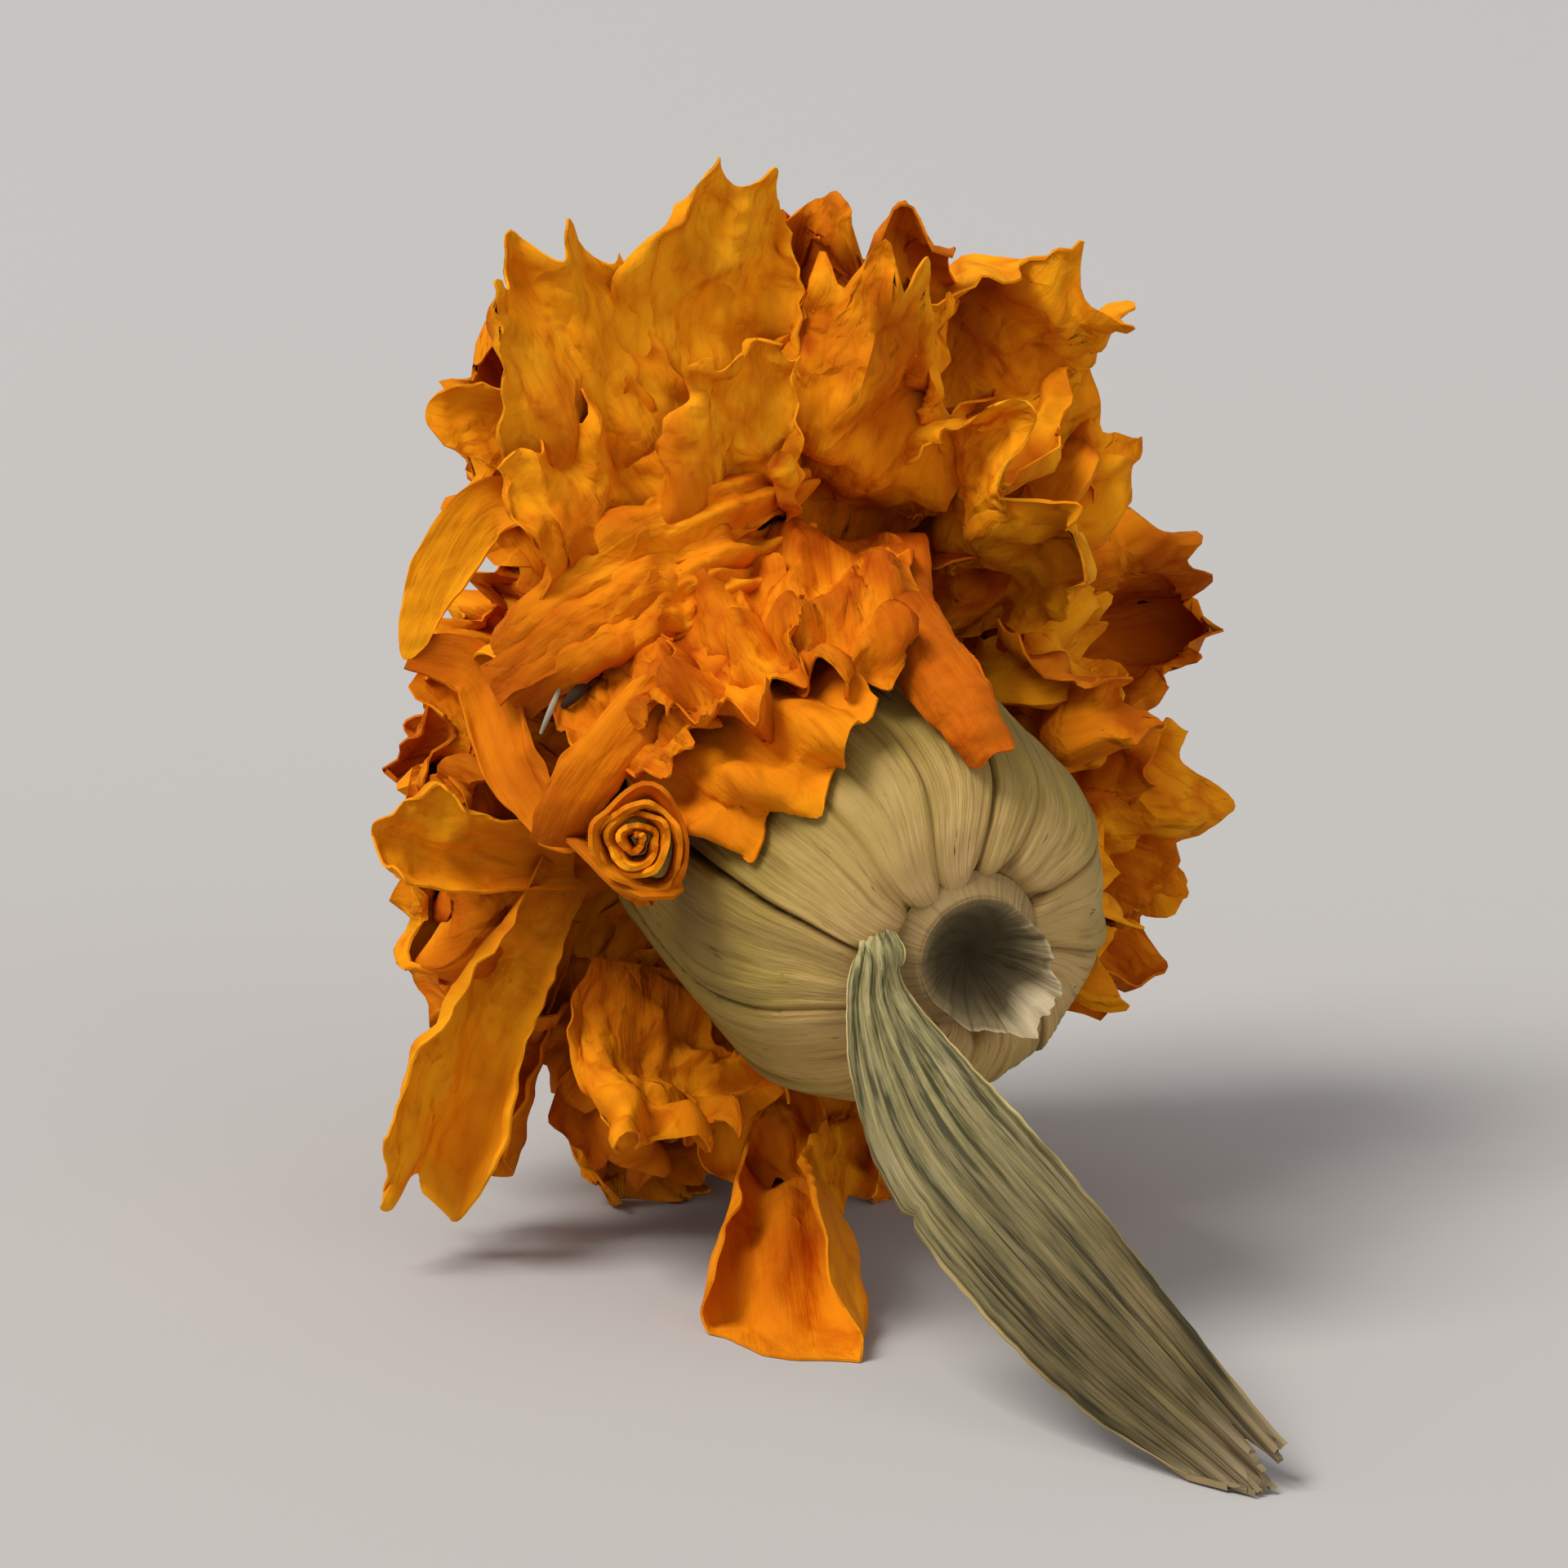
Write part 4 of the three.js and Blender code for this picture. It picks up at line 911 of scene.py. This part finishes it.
class Look:
    """A material, and the nodes that make it."""

    def __init__(self, name, roughness, specular=0.5):
        self.material = bpy.data.materials.new(name)
        self.material.use_nodes = True
        self.tree = self.material.node_tree
        self.shader = self.tree.nodes["Principled BSDF"]
        self.shader.inputs["Roughness"].default_value = roughness
        self.shader.inputs["Specular IOR Level"].default_value = specular

    def add(self, kind, inputs, **settings):
        """A node; each input may be a socket, a value or a linear colour."""
        node = self.tree.nodes.new(kind)
        for key, value in settings.items():
            setattr(node, key, value)
        for key, value in inputs.items():
            socket = node.inputs[key]
            if isinstance(value, bpy.types.NodeSocket):
                self.tree.links.new(value, socket)
            elif value is not None:
                socket.default_value = (*value, 1) if socket.type == "RGBA" else value
        return node

    def ramp(self, source, *stops):
        """A colour ramp of (place, linear colour) stops, fed by source."""
        node = self.add("ShaderNodeValToRGB", {"Fac": source})
        elements = node.color_ramp.elements
        elements.remove(elements[0])
        for index, (place, colour) in enumerate(stops):
            element = elements.new(place) if index else elements[0]
            element.position = place
            element.color = (*colour, 1)
        return node.outputs["Color"]

    def mix(self, amount, first, second, blend="MIX"):
        """Two colours mixed, by the node's inputs and output that are for colours."""
        inputs = {0: amount, 6: first, 7: second}
        return self.add("ShaderNodeMix", inputs, data_type="RGBA", blend_type=blend).outputs[2]

    def shade(self, colour, *layers):
        """A colour multiplied by ramps, given as how much each counts, what feeds it and its stops."""
        for amount, source, *stops in layers:
            colour = self.mix(amount, colour, self.ramp(source, *stops), "MULTIPLY")
        return colour

    def math(self, operation, *values):
        return self.add("ShaderNodeMath", dict(enumerate(values)), operation=operation).outputs[0]

    def attribute(self, name, output="Fac"):
        return self.add("ShaderNodeAttribute", {}, attribute_name=name).outputs[output]

    def object_place(self):
        return self.add("ShaderNodeTexCoord", {}).outputs["Object"]

    def split(self, vector):
        return self.add("ShaderNodeSeparateXYZ", {0: vector}).outputs

    def stretch(self, vector, scale):
        return self.add("ShaderNodeMapping", {"Vector": vector, "Scale": scale}).outputs["Vector"]

    def noise(self, vector, scale, detail=4.0, roughness=0.55, stretch=None):
        """Noise over a vector socket, stretched if asked."""
        if stretch is not None:
            vector = self.stretch(vector, stretch)
        inputs = {"Vector": vector, "Scale": scale, "Detail": detail, "Roughness": roughness}
        return self.add("ShaderNodeTexNoise", inputs).outputs["Fac"]

    def bump(self, height, strength, distance, normal=None):
        inputs = {"Height": height, "Strength": strength, "Distance": distance, "Normal": normal}
        return self.add("ShaderNodeBump", inputs).outputs["Normal"]

    def facet_bump(self, place, scale, distance, strength, normal=None):
        """Flat facets with crisp creases between them, as finely crumpled tissue has."""
        inputs = {"Vector": self.stretch(place, (scale, scale * 0.6, 0.0)), "Scale": 1.0}
        edge, cell = (
            self.add("ShaderNodeTexVoronoi", inputs, voronoi_dimensions="2D", feature=feature)
            for feature in ("DISTANCE_TO_EDGE", "F1")
        )
        lift = self.math("SUBTRACT", self.split(cell.outputs["Color"])[0], 0.5)
        height = self.math("MULTIPLY", lift, edge.outputs["Distance"])
        return self.bump(height, strength, distance, normal), edge.outputs["Distance"]

    def finish(self, colour, normal=None):
        """The material, with its colour and its bumps on the shader."""
        self.tree.links.new(colour, self.shader.inputs["Base Color"])
        if normal is not None:
            self.tree.links.new(normal, self.shader.inputs["Normal"])
        return self.material


def petal_material():
    """Dried petal: golden orange, darker at the root, with fine veins along it, and painted shade in its
    creases and hollows and where other petals lie close over it.
    """
    look = Look("dried_petal", 0.8, 0.06)
    place = look.attribute("petal_place", "Vector")
    mottle = look.math("MULTIPLY", look.noise(look.object_place(), 240, 5), 0.55)
    # Each petal's tone, which differs at random, and is set low on a few petals as painted shade.
    tone_and_shade = look.math("MULTIPLY_ADD", look.attribute("petal_tone_and_shade"), 0.45, mottle)
    depth = look.math("MULTIPLY_ADD", look.attribute("petal_relief"), 0.5, 0.5)
    veins = look.noise(place, 1.0, 3, 0.6, (3.4, 0.25, 0.0))
    warp = look.noise(place, 0.8, 2)
    bent = look.add("ShaderNodeVectorMath", {0: place, 1: warp}, operation="ADD").outputs["Vector"]
    fine = look.attribute("petal_fine")
    normal, gap = look.facet_bump(bent, 0.7, 0.0011, fine)
    normal, _ = look.facet_bump(bent, 1.5, 0.0005, fine, normal)
    colour = look.ramp(
        tone_and_shade, (0.20, (0.55, 0.125, 0.003)), (0.38, (0.72, 0.21, 0.003)), (0.55, (0.84, 0.29, 0.004)),
        (0.75, (0.88, 0.36, 0.007)),
    )
    # Painted shade in the crumple's hollows, along its creases and facet edges, and where other petals lie
    # close over it; also darker towards the root and along the veins.
    colour = look.shade(
        colour,
        (0.8, depth, (0.2, (0.66, 0.42, 0.3)), (0.46, (0.96, 0.9, 0.88)), (0.7, WHITE)),
        (0.45, look.attribute("petal_crease_shade"), (0.1, WHITE), (0.8, (0.6, 0.3, 0.2))),
        (0.8, look.split(place)[2], (0.0, (0.5, 0.25, 0.2)), (0.35, (0.92, 0.8, 0.8)), (0.55, WHITE)),
        (0.4, veins, (0.34, (0.8, 0.6, 0.5)), (0.5, WHITE)),
        (fine, gap, (0.0, (0.85, 0.7, 0.6)), (0.22, WHITE)),
        (1.0, look.attribute("petal_painted_shade"), (0.06, (0.36, 0.16, 0.12)), (0.3, (0.72, 0.5, 0.42)),
         (0.5, (0.95, 0.88, 0.85)), (0.7, WHITE)),
    )
    normal = look.bump(veins, 0.4, 0.0002, normal)
    return look.finish(colour, look.bump(look.noise(look.object_place(), 1700, 4), 0.25, 0.00012, normal))


def cup_material():
    """Dried bracts: cream at the base, olive to the mouth, dark where they meet, with brown streaks, and
    painted shade in the troughs of their ridges and where petals lie close over them.
    """
    look = Look("dried_cup", 0.6, 0.22)
    place = look.attribute("cup_place", "Vector")
    _, height, seam = look.split(place)
    cloud = look.noise(place, 0.5, 4, 0.6, (1.0, 0.45, 0.0))
    level = look.math("SUBTRACT", look.math("DIVIDE", height, CUP_LONG), 0.2)
    level = look.math("MULTIPLY_ADD", cloud, 0.5, level)
    level = look.math("MULTIPLY_ADD", look.attribute("cup_shade"), 0.16, level)
    streaks = look.noise(place, 1.0, 4, 0.6, (3.2, 0.2, 0.0))
    dashes = look.noise(place, 1.0, 2, 0.4, (3.9, 0.7, 3.0))
    colour = look.ramp(
        level, (0.08, (0.66, 0.43, 0.19)), (0.34, (0.64, 0.43, 0.155)), (0.55, (0.43, 0.3, 0.07)),
        (0.8, (0.25, 0.165, 0.03)),
    )
    # Painted shade in the troughs of the fine ridges and where petals lie close over the bracts.
    colour = look.shade(
        colour,
        (0.85, seam, (0.03, (0.14, 0.09, 0.045)), (0.12, (0.75, 0.7, 0.55)), (0.35, WHITE)),
        (0.6, look.attribute("cup_relief"), (0.0, (0.62, 0.58, 0.45)), (0.35, WHITE)),
        (0.6, streaks, (0.34, (0.5, 0.38, 0.26)), (0.47, WHITE), (0.7, (1.12, 1.1, 1.05))),
        (0.8, dashes, (0.25, (0.25, 0.15, 0.08)), (0.3, WHITE)),
        (0.9, look.attribute("cup_base"), (0.1, WHITE), (0.9, (0.6, 0.54, 0.48))),
        (1.0, look.attribute("cup_painted_shade"), (0.1, (0.35, 0.25, 0.15)), (0.35, (0.75, 0.66, 0.5)), (0.58, WHITE)),
    )
    normal = look.bump(streaks, 0.5, 0.0003)
    return look.finish(colour, look.bump(look.noise(look.object_place(), 1300, 4), 0.25, 0.0001, normal))


def stem_material():
    """Torn stem: brown outside, with painted shade in the dish, darkest in its middle, and pale along the
    torn edge.
    """
    look = Look("dried_stem", 0.8, 0.08)
    torn = (0.5, 0.4, 0.24)
    place = look.attribute("stem_place", "Vector")
    _, along, inward = look.split(place)
    outside = look.ramp(along, (0.0, (0.34, 0.225, 0.09)), (0.25, (0.3, 0.21, 0.1)), (0.8, torn))
    # Painted shade: the shallow dish is coloured darker inwards, standing for the shade in the hollow stem.
    inside = look.ramp(
        inward, (0.0, (0.22, 0.165, 0.08)), (0.12, (0.13, 0.095, 0.045)), (0.35, (0.075, 0.055, 0.026)),
        (1.0, (0.045, 0.033, 0.015)),
    )
    inside = look.mix(look.ramp(along, (0.72, BLACK), (0.93, WHITE)), inside, torn)
    colour = look.mix(look.ramp(inward, (0.0, BLACK), (0.02, WHITE)), outside, inside)
    streaks = look.noise(place, 3.0, 4, 0.6, (2.0, 0.8, 0.0))
    colour = look.shade(colour, (0.55, streaks, (0.36, (0.5, 0.45, 0.38)), (0.5, WHITE)))
    return look.finish(colour, look.bump(streaks, 0.6, 0.0002))


def leaf_material():
    """Dried leaf: grey-green with parallel veins, dark between them and pale along its edges."""
    look = Look("dried_leaf", 0.75, 0.25)
    place = look.attribute("leaf_place", "Vector")
    across, along, _ = look.split(place)
    cloud = look.noise(place, 2.2, 4, 0.6, (1.0, 3.0, 0.0))
    veins = look.noise(place, 1.0, 4, 0.7, (9.0, 3.0, 0.0))
    edge = look.math("ABSOLUTE", across)
    colour = look.shade(
        look.ramp(
            cloud, (0.3, (0.21, 0.185, 0.075)), (0.5, (0.33, 0.285, 0.125)), (0.72, (0.45, 0.385, 0.2)),
        ),
        (0.9, veins, (0.40, (0.2, 0.2, 0.15)), (0.48, (0.9, 0.9, 0.85)), (0.6, (1.4, 1.35, 1.25))),
        (1.0, along, (0.25, WHITE), (0.8, (0.36, 0.31, 0.27))),
        (1.0, edge, (0.9, WHITE), (0.94, (0.3, 0.3, 0.25)), (0.975, (2.1, 2.0, 1.9))),
    )
    tip = look.ramp(along, (0.93, BLACK), (0.995, (0.7, 0.7, 0.7)))
    colour = look.mix(tip, colour, (0.30, 0.22, 0.12))
    return look.finish(colour, look.bump(veins, 0.7, 0.0003))


def chaff_material():
    look = Look("seeds_and_chaff", 0.8, 0.1)
    paleness = look.attribute("paleness")
    return look.finish(look.ramp(paleness, (0.0, (0.05, 0.028, 0.016)), (1.0, (0.62, 0.54, 0.38))))


def disc_material():
    look = Look("dried_disc", 0.8)
    speck = look.noise(look.object_place(), 900, 3)
    level = look.math("MULTIPLY_ADD", speck, 0.4, look.math("SUBTRACT", look.attribute("tip"), 0.2))
    return look.finish(look.ramp(
        level, (0.1, (0.05, 0.022, 0.01)), (0.6, (0.16, 0.06, 0.015)), (0.95, (0.5, 0.2, 0.02)),
    ))


def floor_material():
    """A grey that gets a little lighter and cooler towards the back."""
    look = Look("floor", 0.9)
    depth = look.math("MULTIPLY_ADD", look.split(look.object_place())[1], 2.0, 0.4)
    return look.finish(look.ramp(
        depth, (0.3, (0.455, 0.43, 0.41)), (0.6, (0.475, 0.46, 0.445)), (1.0, (0.495, 0.488, 0.478)),
    ))


# Floor, light and camera

def studio():
    """The floor, which curves up into a wall behind."""
    far, radius = SWEEP["far"], SWEEP["radius"]
    line = [(SWEEP["near"], 0.0)]
    for step in range(SWEEP["steps"] + 1):
        angle = math.pi / 2 * step / SWEEP["steps"]
        line.append((far + radius * math.sin(angle), radius * (1 - math.cos(angle))))
    line.append((far + radius, SWEEP["tall"]))
    points = [(x, y, z) for y, z in line for x in (-SWEEP["wide"], SWEEP["wide"])]
    faces = [(2 * k, 2 * k + 1, 2 * k + 3, 2 * k + 2) for k in range(len(line) - 1)]
    mesh = bpy.data.meshes.new("sweep")
    mesh.from_pydata(points, [], faces, shade_flat=False)
    mesh.materials.append(floor_material())
    sweep = add_object("sweep", mesh)


def aim(thing, place, way):
    """Puts a lamp or the camera at a place, looking some way."""
    thing.location = place
    thing.rotation_euler = way.to_track_quat("-Z", "Y").to_euler()


def lights():
    scene = bpy.context.scene
    scene.world = bpy.data.worlds.new("world")
    scene.world.use_nodes = True
    sky = scene.world.node_tree.nodes["Background"].inputs
    sky["Color"].default_value, sky["Strength"].default_value = SKY
    for name, (place, energy, size, colour) in LAMPS.items():
        light = bpy.data.lights.new(name, "AREA")
        light.energy, light.size, light.color = energy, size, colour
        aim(add_object(name, light), place, LAMP_TARGET - Vector(place))
    scene.view_settings.view_transform = "Standard"
    scene.view_settings.look = "None"


def camera():
    data = bpy.data.cameras.new("camera")
    data.sensor_width = 36
    data.lens = data.sensor_width * CAMERA_FAR / CAMERA_SEES
    data.clip_start, data.clip_end = 0.01, 10
    back = Vector((0, -math.cos(CAMERA_RISE), math.sin(CAMERA_RISE)))
    bpy.context.scene.camera = add_object("camera", data)
    aim(bpy.context.scene.camera, CAMERA_TARGET + back * CAMERA_FAR, -back)


def flower():
    def in_rings(rings, steps):
        return [(ring_sheet, petal, steps) for ring in rings for petal in ring]

    material = petal_material()
    rings = ring_petals(RINGS, SEEDS["rings"])
    singles = [(single_sheet, single, SINGLE_STEPS) for single in SINGLES] + [(roll_sheet, ROLL, ROLL_STEPS)]
    sheets = {
        "ray_petals_outer": in_rings(rings[:OUTER_RINGS], RING_STEPS),
        "ray_petals_inner": in_rings(rings[OUTER_RINGS:], RING_STEPS),
        "ray_petals_between": in_rings(ring_petals(FILL_RINGS, SEEDS["fills"]), FILL_STEPS),
        "ray_petals_single_near": singles[:NEAR_SINGLES],
        "ray_petals_single_far": singles[NEAR_SINGLES:],
        "ray_petals_bands": [(single_sheet, band, SINGLE_STEPS) for band in BANDS],
    }
    groups = [(name, laid_sheets(group, SEEDS["sheets"] + index))
              for index, (name, group) in enumerate(sheets.items())]
    # Painted shade: rays past all the petals, the cup and the floor tell how closely things lie over each
    # petal and the cup.
    tree = painted_shade_tree([sheet for _, laid in groups for sheet in laid])
    for name, laid in groups:
        petal_piece(name, laid, tree, material)
    chaff_piece(chaff_material())
    cup_piece(cup_material(), tree)
    stem_piece(stem_material())
    leaf_piece(leaf_material())
    disc_piece(disc_material())


camera()
studio()
lights()
flower()
